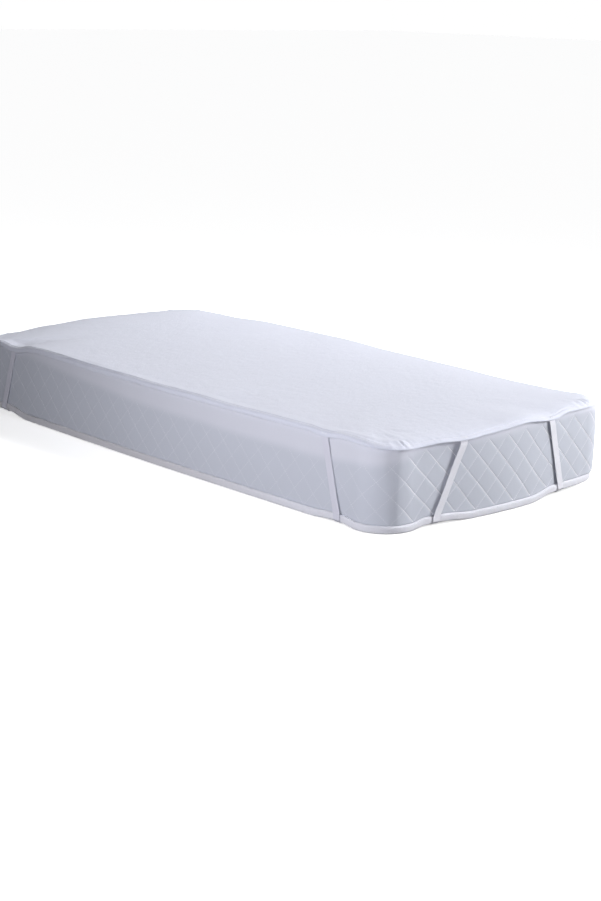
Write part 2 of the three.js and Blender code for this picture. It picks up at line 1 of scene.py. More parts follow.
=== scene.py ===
# %% [markdown]
# # A waterproof mattress protector, laid on a single mattress
# The real object is one rectangle of white towelling with a waterproof backing. A
# narrow hem runs round it, and an elastic band crosses each corner and passes under
# the mattress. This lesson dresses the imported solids: it makes the draped sheet, the
# bands, the quilted mattress and the soft tape round its foot as fine surfaces, each
# worked out with numpy from short tables of sizes.

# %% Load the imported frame
import math

import bmesh
import bpy
import numpy as np
from mathutils import Matrix, Vector


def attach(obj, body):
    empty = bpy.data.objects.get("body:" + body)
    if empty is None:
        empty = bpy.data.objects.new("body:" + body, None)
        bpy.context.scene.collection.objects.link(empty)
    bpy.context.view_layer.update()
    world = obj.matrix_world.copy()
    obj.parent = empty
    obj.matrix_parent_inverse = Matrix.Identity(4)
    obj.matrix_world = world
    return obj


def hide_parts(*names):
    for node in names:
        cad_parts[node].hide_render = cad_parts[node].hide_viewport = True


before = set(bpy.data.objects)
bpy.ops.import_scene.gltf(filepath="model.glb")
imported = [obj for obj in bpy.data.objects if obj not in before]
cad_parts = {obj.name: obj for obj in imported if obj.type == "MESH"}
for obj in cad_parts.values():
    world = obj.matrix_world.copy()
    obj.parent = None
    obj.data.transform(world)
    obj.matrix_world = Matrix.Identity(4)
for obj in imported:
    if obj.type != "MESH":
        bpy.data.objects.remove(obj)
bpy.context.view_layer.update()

# %% [markdown]
# ## The camera
# A long lens stands off the foot end and looks along the mattress towards its head.
# Its focal length is kept in pixels of the picture's frame and turned into millimetres.

# %% Camera
FRAME_HEIGHT = 901
SENSOR = 36.0
FOCAL_PIXELS = 1833
CAMERA_PLACE = Vector((4.128, -3.627, 1.365))
YAW, PITCH, ROLL = (math.radians(angle) for angle in (137.73, 14.23, 1.41))


def camera_axes(yaw, pitch, roll):
    """Forward is the heading dipped by the pitch; right and up turn about it by the roll."""
    flat = math.cos(pitch)
    forward = Vector((flat * math.cos(yaw), flat * math.sin(yaw), -math.sin(pitch)))
    level = forward.cross(Vector((0, 0, 1))).normalized()
    upright = level.cross(forward)
    right = level * math.cos(roll) + upright * math.sin(roll)
    return right, right.cross(forward), forward


def new_object(name, data):
    """An object in the scene, at the world origin."""
    made = bpy.data.objects.new(name, data)
    bpy.context.collection.objects.link(made)
    return made


right, up, forward = camera_axes(YAW, PITCH, ROLL)
camera_data = bpy.data.cameras.new("camera")
camera_data.sensor_width = SENSOR
camera_data.lens = FOCAL_PIXELS / FRAME_HEIGHT * SENSOR
camera = new_object("camera", camera_data)
turned = Matrix((right, up, -forward)).transposed().to_4x4()
camera.matrix_world = Matrix.Translation(CAMERA_PLACE) @ turned
bpy.context.scene.camera = camera
print(f"lens {camera_data.lens:.1f} mm")

# %% [markdown]
# ## A place on the outline
# Seen from above, the mattress is a rectangle with round corners whose sides swell a
# little. Sheet, tape, border and bands all follow it, so one function gives the point
# and the outward direction at any distance round it. Sizes are in millimetres, and
# places start at the middle of the head end and run along the near long side first.

# %% The plan outline
MM = 0.001
LENGTH, WIDTH, HEIGHT = 1900, 900, 245
CORNER_RADIUS = 100
LONG_SIDE_BULGE, END_BULGE, BULGE_SHARPNESS = 10, 20, 1.5
HALF_LONG, HALF_END = LENGTH / 2 - CORNER_RADIUS, WIDTH / 2 - CORNER_RADIUS
ARC = math.pi / 2 * CORNER_RADIUS
QUARTER = HALF_END + ARC + HALF_LONG
PERIMETER = 4 * QUARTER
SPINE_HALF_LENGTH = (LENGTH - WIDTH) / 2

PLACE = {
    "head": lambda y: (PERIMETER - y) % PERIMETER,
    "near": lambda x: QUARTER + x,
    "foot": lambda y: 2 * QUARTER + y,
    "far": lambda x: 3 * QUARTER - x,
}


def cubic(values, slopes, low, high, t, span):
    """Cubic from one row of values to another, a share t of the way: both rows' values and
    their slopes over the span, each weighted by a cubic in t."""
    ends = values[low] * (1 + 2 * t) * (1 - t) ** 2 + values[high] * t * t * (3 - 2 * t)
    return ends + span * (slopes[low] * t * (1 - t) ** 2 - slopes[high] * t * t * (1 - t))


def edge_curve(table, column=1):
    """Periodic curve through a table that gives each side its rows of (place, value ...): a
    cubic between neighbours whose slope at a row is the harmonic mean of the slopes beside
    it, or level at a peak, so it never overshoots."""
    ordered = sorted(
        (PLACE[side](row[0]), row[column]) for side, rows in table.items() for row in rows
    )
    at, value = (np.array(part, float) for part in zip(*ordered))
    span = np.mod(np.roll(at, -1) - at, PERIMETER)
    rise = (np.roll(value, -1) - value) / span
    product = np.roll(rise, 1) * rise
    total = np.roll(rise, 1) + rise
    slope = np.where(product > 0, 2 * product / np.where(product > 0, total, 1), 0)

    def curve(place):
        s = np.mod(place, PERIMETER)
        i = (np.searchsorted(at, s, side="right") - 1) % len(at)
        j = (i + 1) % len(at)
        return cubic(value, slope, i, j, np.mod(s - at[i], PERIMETER) / span[i], span[i])

    return curve


# How far the outline swells out or draws in at the corners: place along the side, amount
corner_ease = edge_curve({
    "head": [(0, 0)],
    "near": [(790, 0), (928, 4)],
    "foot": [(-310, 0), (300, 0)],
    "far": [(928, -11), (780, 0)],
})


def outline(place):
    """A side's straight line or a corner's quarter circle, moved out by the corner radius,
    by the side's sine-shaped swelling and by the corner's own ease."""
    wrapped = np.mod(place, PERIMETER)
    mirrored = wrapped > PERIMETER / 2
    s = np.where(mirrored, PERIMETER - wrapped, wrapped)
    along = s - HALF_END - ARC
    past = along - 2 * HALF_LONG
    on_end = (along < 0) | (past > 0)
    x = np.clip(along, 0, 2 * HALF_LONG) - HALF_LONG
    y = np.where(along < 0, -np.minimum(s, HALF_END), np.maximum(past - ARC, 0) - HALF_END)
    turn = (np.clip(along / ARC, -1, 0) + np.clip(past / ARC, 0, 1)) * math.pi / 2
    share = np.where(on_end, y / HALF_END + 1, x / HALF_LONG + 1) / 2
    swell = np.sin(math.pi * np.clip(share, 0, 1)).clip(0) ** BULGE_SHARPNESS
    bulge = np.where(on_end, END_BULGE, LONG_SIDE_BULGE)
    reach = CORNER_RADIUS + bulge * swell + corner_ease(wrapped)
    out_x, out_y = np.sin(turn), -np.cos(turn)
    flip = np.where(mirrored, -1, 1)
    return x + out_x * reach, flip * (y + out_y * reach), out_x, flip * out_y


def at_edge(place, out, height):
    """The outline's point, a distance out along its own direction, at a height."""
    x, y, out_x, out_y = outline(place)
    return np.stack(np.broadcast_arrays(x + out_x * out, y + out_y * out, height), -1)


def towards_middle(place, inset, share, height):
    """A share of the way from an inset of the outline to the middle line of the mattress."""
    rim = at_edge(place, -inset, height)
    x = np.clip(outline(place)[0], -SPINE_HALF_LENGTH, SPINE_HALF_LENGTH)
    middle = np.stack(np.broadcast_arrays(x, 0 * x, height), -1)
    return rim + (middle - rim) * np.asarray(share)[..., None]


print(f"outline {PERIMETER:.0f} mm round, corners of {CORNER_RADIUS} mm")

# %% [markdown]
# ## Grids into meshes
# Every surface here is a grid of points with its places in one direction and its rows
# in the other. One helper joins neighbours with squares, closes the grid where it runs
# round, and merges points that meet, such as those on the middle line.

# %% Mesh helpers
MEETING = 5e-6  # metres; points nearer than this are one


def link(name, points, faces, close=False, share=None, uv=None):
    """Puts points, in millimetres, and faces into a new object at the world origin. Closing
    merges points that meet and turns all faces outwards. A share from 0 to 1 at each point
    tells its material how far to go to its second colour."""
    mesh = bpy.data.meshes.new(name)
    mesh.from_pydata((points.reshape(-1, 3) * MM).tolist(), [], faces)
    if share is not None:
        second = mesh.attributes.new("share", "FLOAT", "POINT")
        second.data.foreach_set("value", share.ravel().astype("f"))
    if uv is not None:
        corners = np.empty(len(mesh.loops), int)
        mesh.loops.foreach_get("vertex_index", corners)
        laid_flat = (uv.reshape(-1, 2)[corners] * MM).ravel()
        mesh.uv_layers.new(name="cloth").data.foreach_set("uv", laid_flat)
    if close:
        shell = bmesh.new()
        shell.from_mesh(mesh)
        bmesh.ops.remove_doubles(shell, verts=shell.verts, dist=MEETING)
        bmesh.ops.recalc_face_normals(shell, faces=shell.faces)
        shell.to_mesh(mesh)
        shell.free()
    mesh.polygons.foreach_set("use_smooth", np.full(len(mesh.polygons), True))
    mesh.update()
    print(name, len(mesh.vertices), "points", len(mesh.polygons), "faces")
    return new_object(name, mesh)


def grid_faces(rows, columns, wrap_rows=False):
    """Squares between each point and its neighbours. A grid may meet itself both ways."""
    row = np.arange(rows if wrap_rows else rows - 1)[:, None]
    column = np.arange(columns)[None, :]
    next_row, next_column = (row + 1) % rows, (column + 1) % columns
    corners = (row * columns + column, row * columns + next_column,
               next_row * columns + next_column, next_row * columns + column)
    return np.stack(corners, -1).reshape(-1, 4).tolist()


def unit(vectors):
    """Vectors divided by their own lengths."""
    return vectors / np.maximum(np.linalg.norm(vectors, axis=-1, keepdims=True), 1e-9)


def run_length(points, start=None):
    """Length run along each column of points, from a start or from their own first row."""
    steps = np.diff(points, axis=0, prepend=points[:1] if start is None else start)
    return np.cumsum(np.linalg.norm(steps, axis=-1), axis=0)


def mix(low, high, share):
    """The value a share of the way from low to high."""
    return low + (high - low) * share


def smooth_step(value, low, high):
    """0 below low, 1 above high and a smooth S between them."""
    t = np.clip((value - low) / (high - low), 0, 1)
    return t * t * (3 - 2 * t)


def bell(distance, width):
    """1 at the middle, falling off as the exponential of minus the square."""
    return np.exp(-((distance / width) ** 2))


def waves(place, lengths, seed, twist=0):
    """Sine waves of the given lengths added up, each a whole number of times round the
    edge, the longest the strongest, turned a little by an angle round a section."""
    rng = np.random.default_rng(seed)
    total = 0
    for length in lengths:
        turns = 2 * math.pi * round(PERIMETER / length) / PERIMETER
        phase, slant = rng.uniform(0, 2 * math.pi), rng.integers(-2, 3)
        total = total + length * np.sin(turns * place + slant * twist + phase)
    return total / sum(lengths)


def around(place, where):
    """Distance round the edge from a place, the short way and with its sign."""
    return np.mod(place - where + PERIMETER / 2, PERIMETER) - PERIMETER / 2


# %% [markdown]
# ## The draped sheet
# The protector lies flat, turns down over the edge and ends in a hem a few centimetres
# below. How high it turns, how low its hem hangs and how far the hem stands off change
# all the way round, because the bands pull it down. A cloth simulation would lose those
# measured places, so the section is a curve with two handles, set by tables round the
# edge, and the creases are laid on it afterwards.

# %% Sizes of the sheet's edge
SHEET_THICKNESS = 2.4
SHOULDER_INSET = 32
CROWN_RISE = 5
TOP_SETTLING = 5
STRAP_FLAT = 16
LONG_TOP, END_TOP = LENGTH / 2 - 220, WIDTH / 2 - 274


def level_at(where, *values, reach=STRAP_FLAT):
    """Two rows of a table that hold its values level across a band."""
    return [(where - reach, *values), (where + reach, *values)]


# Height of the sheet's underside where it starts to turn down: place along the side, height
turn_height = edge_curve({
    "head": [(0, 242), *level_at(-END_TOP, 236), (-272, 229), (-380, 225), (300, 240)],
    "near": [
        (-860, 229), (-805, 235), *level_at(-LONG_TOP, 228), (-660, 240), (-575, 246),
        (-300, 246), (20, 241), (186, 243), (343, 240), (546, 243), (LONG_TOP, 243), (840, 246),
        (930, 240),
    ],
    "foot": [(-330, 239), (-END_TOP, 238), (-50, 240), (70, 247), (END_TOP, 242), (270, 249)],
    "far": [
        (900, 249), (LONG_TOP, 240), (530, 237), (345, 240), (50, 241), (-127, 248), (-517, 247),
        (-LONG_TOP, 238), (-900, 237),
    ],
})

# Lower edge of the hem: place along the side, height, how far it stands off the outline
HEM_ROWS = {
    "head": [
        (0, 231, 3), *level_at(-END_TOP, 221, 8), (-300, 214, 4), (290, 226, 4),
        *level_at(END_TOP, 225, 8),
    ],
    "near": [
        (-890, 215, 5), (-805, 224, 5), *level_at(-LONG_TOP, 216, 5), (-650, 227, 3),
        (-550, 232, 3), (-302, 227, 3), (-73, 229, 3), (95, 229, 3), (257, 229, 3), (575, 230, 3),
        (670, 232, 4), *level_at(LONG_TOP, 228, 5), (800, 234, 4), (860, 234, 4), (915, 229, 6),
        (965, 225, 8),
    ],
    "foot": [
        (-351, 224, 7), (-260, 227, 9), *level_at(-END_TOP, 224, 11), (-107, 226, 5),
        (-28, 230, 3), (70, 236, 3), *level_at(END_TOP, 229, 7), (254, 238, 3.5), (340, 237, 3.5),
    ],
    "far": [
        (900, 232, 4), *level_at(LONG_TOP, 224, 5), (560, 225, 3), (50, 228, 3), (-300, 232, 3),
        (-600, 230, 3), *level_at(-LONG_TOP, 222, 5), (-890, 222, 7),
    ],
}
hem_height, hem_stand = edge_curve(HEM_ROWS, 1), edge_curve(HEM_ROWS, 2)

# How square the sheet turns down, from 0, a straight slope, to 1: place, fullness
bend_fullness = edge_curve({
    "head": [(0, 0.4)],
    "near": [(-870, 0.86), (780, 0.9), (940, 0.45)],
    "foot": [(-300, 0.26), (-40, 0.34), (90, 0.36), (320, 0.3)],
    "far": [(840, 0.5), (-860, 0.55)],
})

hangs = hem_height(np.arange(0, PERIMETER, 10))
print(f"the hem hangs {hangs.min():.0f} to {hangs.max():.0f} mm above the floor")


# %% The sheet's section
def bend_section(place, bend):
    """How far out the middle of the cloth is and how high, round its bend: a cubic Bezier
    curve from the shoulder to the hem, whose handles reach a share, the fullness, of the
    way to the corner between them."""
    start_out, start_up = -SHOULDER_INSET, turn_height(place) + SHEET_THICKNESS / 2
    end_out, end_up = hem_stand(place), hem_height(place)
    full = bend_fullness(place)
    across_out, down_up = mix(start_out, end_out, full), mix(end_up, start_up, full)
    left = 1 - bend
    a, b, c, d = left ** 3, 3 * bend * left ** 2, 3 * bend ** 2 * left, bend ** 3
    out = a * start_out + b * across_out + c * end_out + d * end_out
    height = a * start_up + b * start_up + c * down_up + d * end_up
    return out, height


def top_height(place, share):
    """Height of the sheet's underside, settling from the turn up to the crown as the fifth
    power of what is left of the way to the middle dies away."""
    return mix(turn_height(place), HEIGHT + CROWN_RISE, 1 - (1 - share) ** TOP_SETTLING)


CORNER_CROWDING, CORNER_REACH = 1.6, 160


def sheet_places(count):
    """Places round the edge, crowded near the corners, where the cloth creases most. The
    far half mirrors the near one, so that the two meet on the middle line."""
    even = np.linspace(0, PERIMETER / 2, 4001)
    x, y, _, _ = outline(even)
    near_end = bell(np.abs(x) - LENGTH / 2, CORNER_REACH)
    near_side = bell(np.abs(y) - WIDTH / 2, CORNER_REACH)
    crowd = np.cumsum(1 + CORNER_CROWDING * near_end * near_side)
    near_half = np.interp(np.linspace(crowd[0], crowd[-1], count // 2 + 1), crowd, even)
    return np.concatenate([near_half, PERIMETER - near_half[-2:0:-1]])


SHEET_COLUMNS, CHORDS = 1240, 160

# Distances in from the hem's edge of the first rows, close together on the hem's seam
HEM_ROWS_IN = np.array([
    0, 0.8, 2, 4, 6.5, 9, 11, 12.3, 13.2, 14, 14.8, 15.7, 16.8, 18, 19.2, 20.5, 22, 24, 27,
])
# Shares of the rest of the bend, and then of the way to the middle, first in close rows
BEND_SHARES = np.array([0.3, 0.65, 1])
CLOSE = 0.27
FLAT_SHARES = np.append(
    np.linspace(0, CLOSE, 17)[1:], CLOSE + (1 - CLOSE) * (np.arange(1, 9) / 8) ** 1.3,
)


def bends_at(place, inwards):
    """How far round the bend the rows at given distances in from the hem are: the section's
    length is summed along its chords and read backwards. All columns are in one table, each
    a metre after the one before it."""
    bends = np.linspace(1, 0, CHORDS + 1)
    run = run_length(np.stack(bend_section(place[None, :], bends[:, None]), -1))
    last = run[-1] - inwards[-1]
    rows = np.append(inwards[:, None] + 0 * last, inwards[-1] + BEND_SHARES[:, None] * last, axis=0)
    apart = 1000 * np.arange(len(place))
    found = np.interp((rows + apart).T, (run + apart).T.ravel(), np.tile(bends, len(place)))
    return rows, found.T


sheet_place = sheet_places(SHEET_COLUMNS)
bent_in, bends = bends_at(sheet_place, HEM_ROWS_IN)
bent = at_edge(sheet_place, *bend_section(sheet_place[None, :], bends))
flat = np.array([
    towards_middle(sheet_place, SHOULDER_INSET, share,
                   top_height(sheet_place, share) + SHEET_THICKNESS / 2)
    for share in FLAT_SHARES
])
flat_in = bent_in[-1] + run_length(flat, bent[-1:])
cloth = np.concatenate([bent, flat])[::-1]
from_hem = np.concatenate([bent_in, flat_in])[::-1]
print("sheet rows", cloth.shape, "longest bend", bent_in[-1].max().round(1), "mm")


# %% [markdown]
# ### Creases
# Where the bands pull on the corners, the cloth gathers in soft ridges and troughs. Each
# one follows a short line, given by where it starts and ends: a place round the edge,
# and a distance in from the hem. Between them the cloth lies in very slow waves.

# %% Creases
# By side: start place, start distance in, end place, end distance in, width, rise
CREASES = {
    "head": [
        # corners of the head end
        (-330, 50, -345, 4, 8, 1.8), (-285, 44, -290, 4, 7, -1.2), (325, 54, 345, 4, 8, 1.8),
        (280, 44, 288, 4, 7, -1.2),
    ],
    "near": [
        # near corner of the foot end
        (750, 31, 850, 33, 7, 1.3), (850, 33, 930, 42, 7, 1.6), (930, 42, 995, 24, 6, 1.8),
        (765, 21, 905, 24, 5, -1.0), (905, 24, 972, 20, 6, -1.4), (925, 94, 1004, 45, 6, 1.8),
        (927, 81, 1006, 33, 5, -1.7), (880, 60, 872, 6, 9, 1.0), (905, 120, 985, 60, 9, 1.2),
        # corners of the head end
        (-775, 50, -765, 5, 9, 1.2), (-880, 60, -905, 4, 9, 1.8),
        # tension towards a band's top
        (712, 34, 722, 6, 5, -0.8), (750, 34, 740, 6, 5, -0.8),
    ],
    "foot": [
        # near corner of the foot end
        (-402, 142, -302, 90, 8, 1.5), (-402, 130, -304, 78, 6, -1.5),
        (-416, 72, -354, 53, 5, -1.2), (-397, 42, -385, 5, 6, 2.0), (-380, 40, -371, 4, 4, 1.7),
        (-388, 40, -378, 4, 4, -1.6), (-355, 38, -358, 3, 6, -1.4), (-330, 44, -335, 4, 6, 1.2),
        (-276, 26, -272, 3, 4, 1.2), (-264, 22, -265, 2, 3.5, -1.0), (-252, 24, -257, 3, 4, 1.0),
        (-420, 30, -412, 3, 7, 1.8),
        # far corner of the foot end
        (352, 96, 308, 34, 6, 1.6), (357, 84, 317, 26, 5, -1.8), (300, 34, 303, 3, 4, 1.0),
        (319, 30, 318, 2, 4, -1.0), (334, 34, 332, 3, 4.5, 1.3), (349, 46, 347, 6, 4, -1.5),
        (359, 44, 358, 6, 4, 1.2), (369, 42, 368, 6, 4, -1.5), (380, 38, 382, 8, 5, 1.2),
        (394, 24, 399, 1, 5, -2.0),
        # tension towards a band's top
        (-192, 34, -184, 6, 5, -0.9), (-160, 34, -168, 6, 5, -0.9), (160, 34, 168, 6, 5, -0.8),
        (192, 34, 184, 6, 5, -0.8),
    ],
    "far": [
        # far corner of the foot end
        (868, 34, 860, 4, 6, 1.6), (845, 40, 840, 4, 7, 1.4),
        # corners of the head end
        (-790, 50, -782, 5, 9, 1.2), (-885, 60, -905, 4, 9, 1.8),
    ],
}
RIPPLE_LENGTHS, RIPPLE_RISE, RIPPLE_REACH = (310, 190, 120, 74), 0.8, 70
DIMPLE_LENGTHS, DIMPLE_RISE, DIMPLE_SLANT = (71, 47, 29, 19), 0.45, 0.6

# Distances in from the hem between which the ripples, then the dimples, grow or die away
RIPPLES_GROW, DIMPLES_GROW, DIMPLES_FADE = (0, 25), (12, 24), (40, 110)


def crease_height(place, inwards):
    """Slow waves, small slanting dimples just inside the edge, and over the creases the rise
    times a bell across the line, faded from a quarter of its length before either end."""
    ripples = RIPPLE_RISE * waves(place, RIPPLE_LENGTHS, seed=11) * np.exp(-inwards / RIPPLE_REACH)
    dimples = DIMPLE_RISE * waves(place + DIMPLE_SLANT * inwards, DIMPLE_LENGTHS, seed=23)
    dimples = dimples * smooth_step(inwards, *DIMPLES_GROW)
    dimples = dimples * (1 - smooth_step(inwards, *DIMPLES_FADE))
    total = ripples * smooth_step(inwards, *RIPPLES_GROW) + dimples
    every = [(side, *row) for side, rows in CREASES.items() for row in rows]
    for side, start, start_in, end, end_in, width, rise in every:
        along, across = PLACE[side](end) - PLACE[side](start), end_in - start_in
        x, y = around(place, PLACE[side](start)), inwards - start_in
        t = (x * along + y * across) / (along ** 2 + across ** 2)
        held = np.clip(t, 0, 1)
        away = np.hypot(x - held * along, y - held * across)
        total += rise * bell(away, width) * smooth_step(1.25 - np.abs(t - 0.5), 0.5, 1)
    return total


def grid_normals(points):
    """Each point's normal: the cross product of the steps along its row and its column."""
    round_it = np.roll(points, -1, axis=1) - np.roll(points, 1, axis=1)
    outwards = np.gradient(points, axis=0)
    return unit(np.cross(outwards, round_it))


def upright_middle(facing):
    """The rows next to the middle line face straight up."""
    facing[:3] = (0, 0, 1)
    return facing


creased = crease_height(sheet_place[None, :], from_hem)[..., None]
cloth = cloth + upright_middle(grid_normals(cloth)) * creased
facing = upright_middle(grid_normals(cloth))
print("creases", sum(map(len, CREASES.values())), "mean facing", facing[5].mean(axis=0).round(2))

# %% [markdown]
# ### Two skins, a turned hem and its seam
# The sheet has a true thickness, and a little more in the hem, where the edge is turned
# on itself. The seam draws a groove 14 mm in from the edge, and on the long sides, where
# the cloth turns down at that seam, the towelling swells in a welt above it. The skins
# stand half the thickness either side of the middle, and a half circle joins them.

# %% The protector sheet
HEM_DEPTH, HEM_THICKNESS = 14, 3.6
SEAM_IN, SEAM_HALF_WIDTH = 13.8, 1.6
WELT_ABOVE, WELT_HALF_WIDTH = 4.6, 3.0

# How deep the hem's seam presses into the cloth: place along the side, depth
seam_depth = edge_curve({
    "head": [(0, 0.8)],
    "near": [(-880, 0.4), (780, 0.4), (940, 0.8)],
    "foot": [(-110, 1.4), (30, 1.8), (330, 1.4)],
    "far": [(880, 0.5), (-880, 0.5)],
})

# How far the cloth swells above the seam: place along the side, rise
welt_rise = edge_curve({
    "head": [(0, 0.2)],
    "near": [(-880, 0.7), (-700, 1.2), (760, 1.3), (900, 0.3)],
    "foot": [(0, 0.2)],
    "far": [(880, 0.4), (700, 1.0), (-700, 1.0), (-880, 0.5)],
})


def outer_relief(place, inwards):
    """The seam's groove and the welt above it, each a bell across the cloth."""
    groove = seam_depth(place) * bell(inwards - SEAM_IN, SEAM_HALF_WIDTH)
    return welt_rise(place) * bell(inwards - SEAM_IN - WELT_ABOVE, WELT_HALF_WIDTH) - groove


past_hem = smooth_step(from_hem, HEM_DEPTH - 2, HEM_DEPTH + 1)
half = mix(HEM_THICKNESS, SHEET_THICKNESS, past_hem) / 2
outer = cloth + facing * (half + outer_relief(sheet_place[None, :], from_hem))[..., None]
inner = cloth - facing * half[..., None]
outwards = unit(cloth[-1] - cloth[-2])
rim = [
    cloth[-1] + half[-1][:, None] * (math.cos(turn) * facing[-1] + math.sin(turn) * outwards)
    for turn in np.linspace(0, math.pi, 6)[1:-1]
]
# The lower skin is out of sight, so every second row is enough for it
inner_rows = np.unique(np.append(np.arange(0, len(cloth), 2), len(cloth) - 1))[::-1]
shell = np.concatenate([outer, rim, inner[inner_rows]])
sheet = link("sheet", shell, grid_faces(*shell.shape[:2]), close=True)

# %% [markdown]
# ### Thread
# Seams are only convincing with their stitches. One stitch is a spindle of ten points,
# pressed a little into the cloth at both ends, and thousands of them make one mesh.

# %% A row of stitches
LIFTED = 0.6  # how far a ring's middle lies above the cloth, in half rises


def stitches(name, starts, ends, outwards, width=0.9, rise=0.6, sink=0.35):
    """Spindles from starts to ends: a tip, two diamond-shaped rings and a tip. The rings
    are a quarter of the way from either end, and the tips are sunk into the cloth."""
    along = unit(ends - starts)
    across = unit(np.cross(outwards, along))
    out = np.cross(along, across)
    rings = [
        mix(starts, ends, share) + across * (width / 2 * side) + out * (rise / 2 * (up + LIFTED))
        for share in (0.25, 0.75) for side, up in ((1, 0), (0, 1), (-1, 0), (0, -1))
    ]
    points = np.stack([starts - out * sink, *rings, ends - out * sink], 1)
    around_it = [(k, (k + 1) % 4) for k in range(4)]
    faces = [(0, 1 + b, 1 + a, 1 + a) for a, b in around_it]
    faces += [(1 + a, 1 + b, 5 + b, 5 + a) for a, b in around_it]
    faces += [(9, 5 + a, 5 + b, 5 + b) for a, b in around_it]
    faces = np.array(faces)[None] + 10 * np.arange(len(points))[:, None, None]
    triangles = np.concatenate([faces[..., [0, 1, 2]], faces[:, 4:8][..., [0, 2, 3]]], 1)
    return link(name, points, triangles.reshape(-1, 3).tolist())


def on_hem(grid, where, inwards):
    """A point of a grid of the sheet, or a normal, by place round the edge and distance in
    from the hem: neighbours mixed in both directions."""
    closed = np.append(sheet_place, PERIMETER)
    k = np.clip(np.searchsorted(HEM_ROWS_IN, inwards, side="right") - 1, 0, len(HEM_ROWS_IN) - 2)
    t = ((inwards - HEM_ROWS_IN[k]) / (HEM_ROWS_IN[k + 1] - HEM_ROWS_IN[k]))[:, None]
    c = np.clip(np.searchsorted(closed, where, side="right") - 1, 0, SHEET_COLUMNS - 1)
    u = ((where - closed[c]) / (closed[c + 1] - closed[c]))[:, None]
    d = (c + 1) % SHEET_COLUMNS
    lower, upper = (mix(grid[row - k, c], grid[row - k, d], u) for row in (-1, -2))
    return mix(lower, upper, t)


def hem_stitches(name, starts, ends):
    """Stitches on the hem between rows of (place, distance in)."""
    (from_place, from_in), (to_place, to_in) = (np.array(row, float).T for row in (starts, ends))
    return stitches(
        name, on_hem(outer, from_place, from_in), on_hem(outer, to_place, to_in),
        on_hem(facing, from_place, from_in),
    )


HEM_STITCH, HEM_STITCH_GAP = 3.4, 0.8
seam_places = np.arange(0, PERIMETER - HEM_STITCH, HEM_STITCH + HEM_STITCH_GAP)
seam_row = np.stack([seam_places, 0 * seam_places + SEAM_IN], -1)
hem_seam = hem_stitches("hem_seam", seam_row, seam_row + (HEM_STITCH, 0))

# %% Bar tacks over the bands' ends
TACK_HALF_WIDTH, TACK_LOW, TACK_HIGH, TACK_STITCHES = 10.5, 3.5, 10.5, 12
TOP_ALONG = {"near": LONG_TOP, "far": LONG_TOP, "head": END_TOP, "foot": END_TOP}
band_tops = [PLACE[side](sign * top) for side, top in TOP_ALONG.items() for sign in (-1, 1)]
tack_steps = np.linspace(-TACK_HALF_WIDTH, TACK_HALF_WIDTH, TACK_STITCHES + 1)
zigzag = np.where(np.arange(TACK_STITCHES + 1) % 2, TACK_HIGH, TACK_LOW)
tack_points = np.array([np.stack([top + tack_steps, zigzag], -1) for top in band_tops])
tack_starts, tack_ends = tack_points[:, :-1].reshape(-1, 2), tack_points[:, 1:].reshape(-1, 2)
bar_tacks = hem_stitches("bar_tacks", tack_starts, tack_ends)

# %% [markdown]
# ## The quilted mattress
# The mattress's border is quilted in flat diamonds between stitched lines that cross at
# about 45 degrees. The grid's points fall on the lines, and each square of the grid is
# split along the line nearest to it, so the grooves run straight. Under the sheet and
# underneath, the mattress is plain.

# %% Sizes of the mattress
STEP_DEPTH, STEP_HEIGHT = 12, 22
EDGE_CLEARANCE, TOP_CLEARANCE = 2, 0.4
SHOULDER_DROP, SHOULDER_PRESS = 25, 0.3
SIDE_BELLY = 2
DIAMONDS_ROUND, QUARTERS_HIGH, SHOULDER_QUARTERS = 74, 10, 2.2
PUFF_DEPTH, GROOVE_REACH = 0.25, 0.12
PLAIN_FADE, FOOT_FADE, FOLD_FADE = 0.08, 0.4, 0.25
FINE, SHOULDER_ROWS = 5, 8  # grid steps in a quarter of a diamond, and over the shoulder
LONG_CROSSING, END_CROSSING = LENGTH / 2 - 163, WIDTH / 2 - 200
CROSSING_FLAT = 22
HOLLOW_DEPTH, HOLLOW_NEAR, HOLLOW_FAR = 2.6, 42, 102
UNDER_INSET = 90

# Of the lines that rise and of those that fall along the outline: how deep the groove is,
# how much painted highlight lightens its cloth, and how wide its thread is
GROOVE_DEPTHS, GROOVE_HIGHLIGHTS, THREAD_WIDTHS = (0.45, 1.25), (0.55, 1.0), (0.8, 3.0)

# How far the bands lift the bottom edge: place along the side, lift
bottom_lift = edge_curve({
    "head": [
        (130, 0), (-130, 0), *level_at(-END_CROSSING, 9, reach=CROSSING_FLAT),
        *level_at(END_CROSSING, 8, reach=CROSSING_FLAT),
    ],
    "near": [
        (-895, 14), *level_at(-LONG_CROSSING, 14, reach=CROSSING_FLAT), (-660, 0), (680, 0),
        (LONG_CROSSING - CROSSING_FLAT, 6), (LONG_CROSSING + 18, 6), (855, 0),
    ],
    "foot": [
        (-345, 0), (-END_CROSSING - 46, 8), (-END_CROSSING + 14, 8), (-130, 0), (90, 0),
        (END_CROSSING - 36, 15), (END_CROSSING + 18, 15),
    ],
    "far": [
        (890, 20), *level_at(LONG_CROSSING, 13, reach=CROSSING_FLAT), (660, 0), (-670, 0),
        *level_at(-LONG_CROSSING, 8, reach=CROSSING_FLAT), (-890, 6),
    ],
})


def under_relief(place):
    """How far the underside is hollowed, only where the bands pass under it."""
    side = np.mod(place, 2 * QUARTER)
    from_end = np.minimum(side, 2 * QUARTER - side)
    along = HALF_END + ARC + HALF_LONG - LONG_CROSSING
    begun = smooth_step(from_end, END_CROSSING - HOLLOW_FAR, END_CROSSING - HOLLOW_NEAR)
    return HOLLOW_DEPTH * (begun - smooth_step(from_end, along + HOLLOW_NEAR, along + HOLLOW_FAR))


print(f"the bottom edge rises {bottom_lift(np.arange(0, PERIMETER, 10)).max():.0f} mm at most")

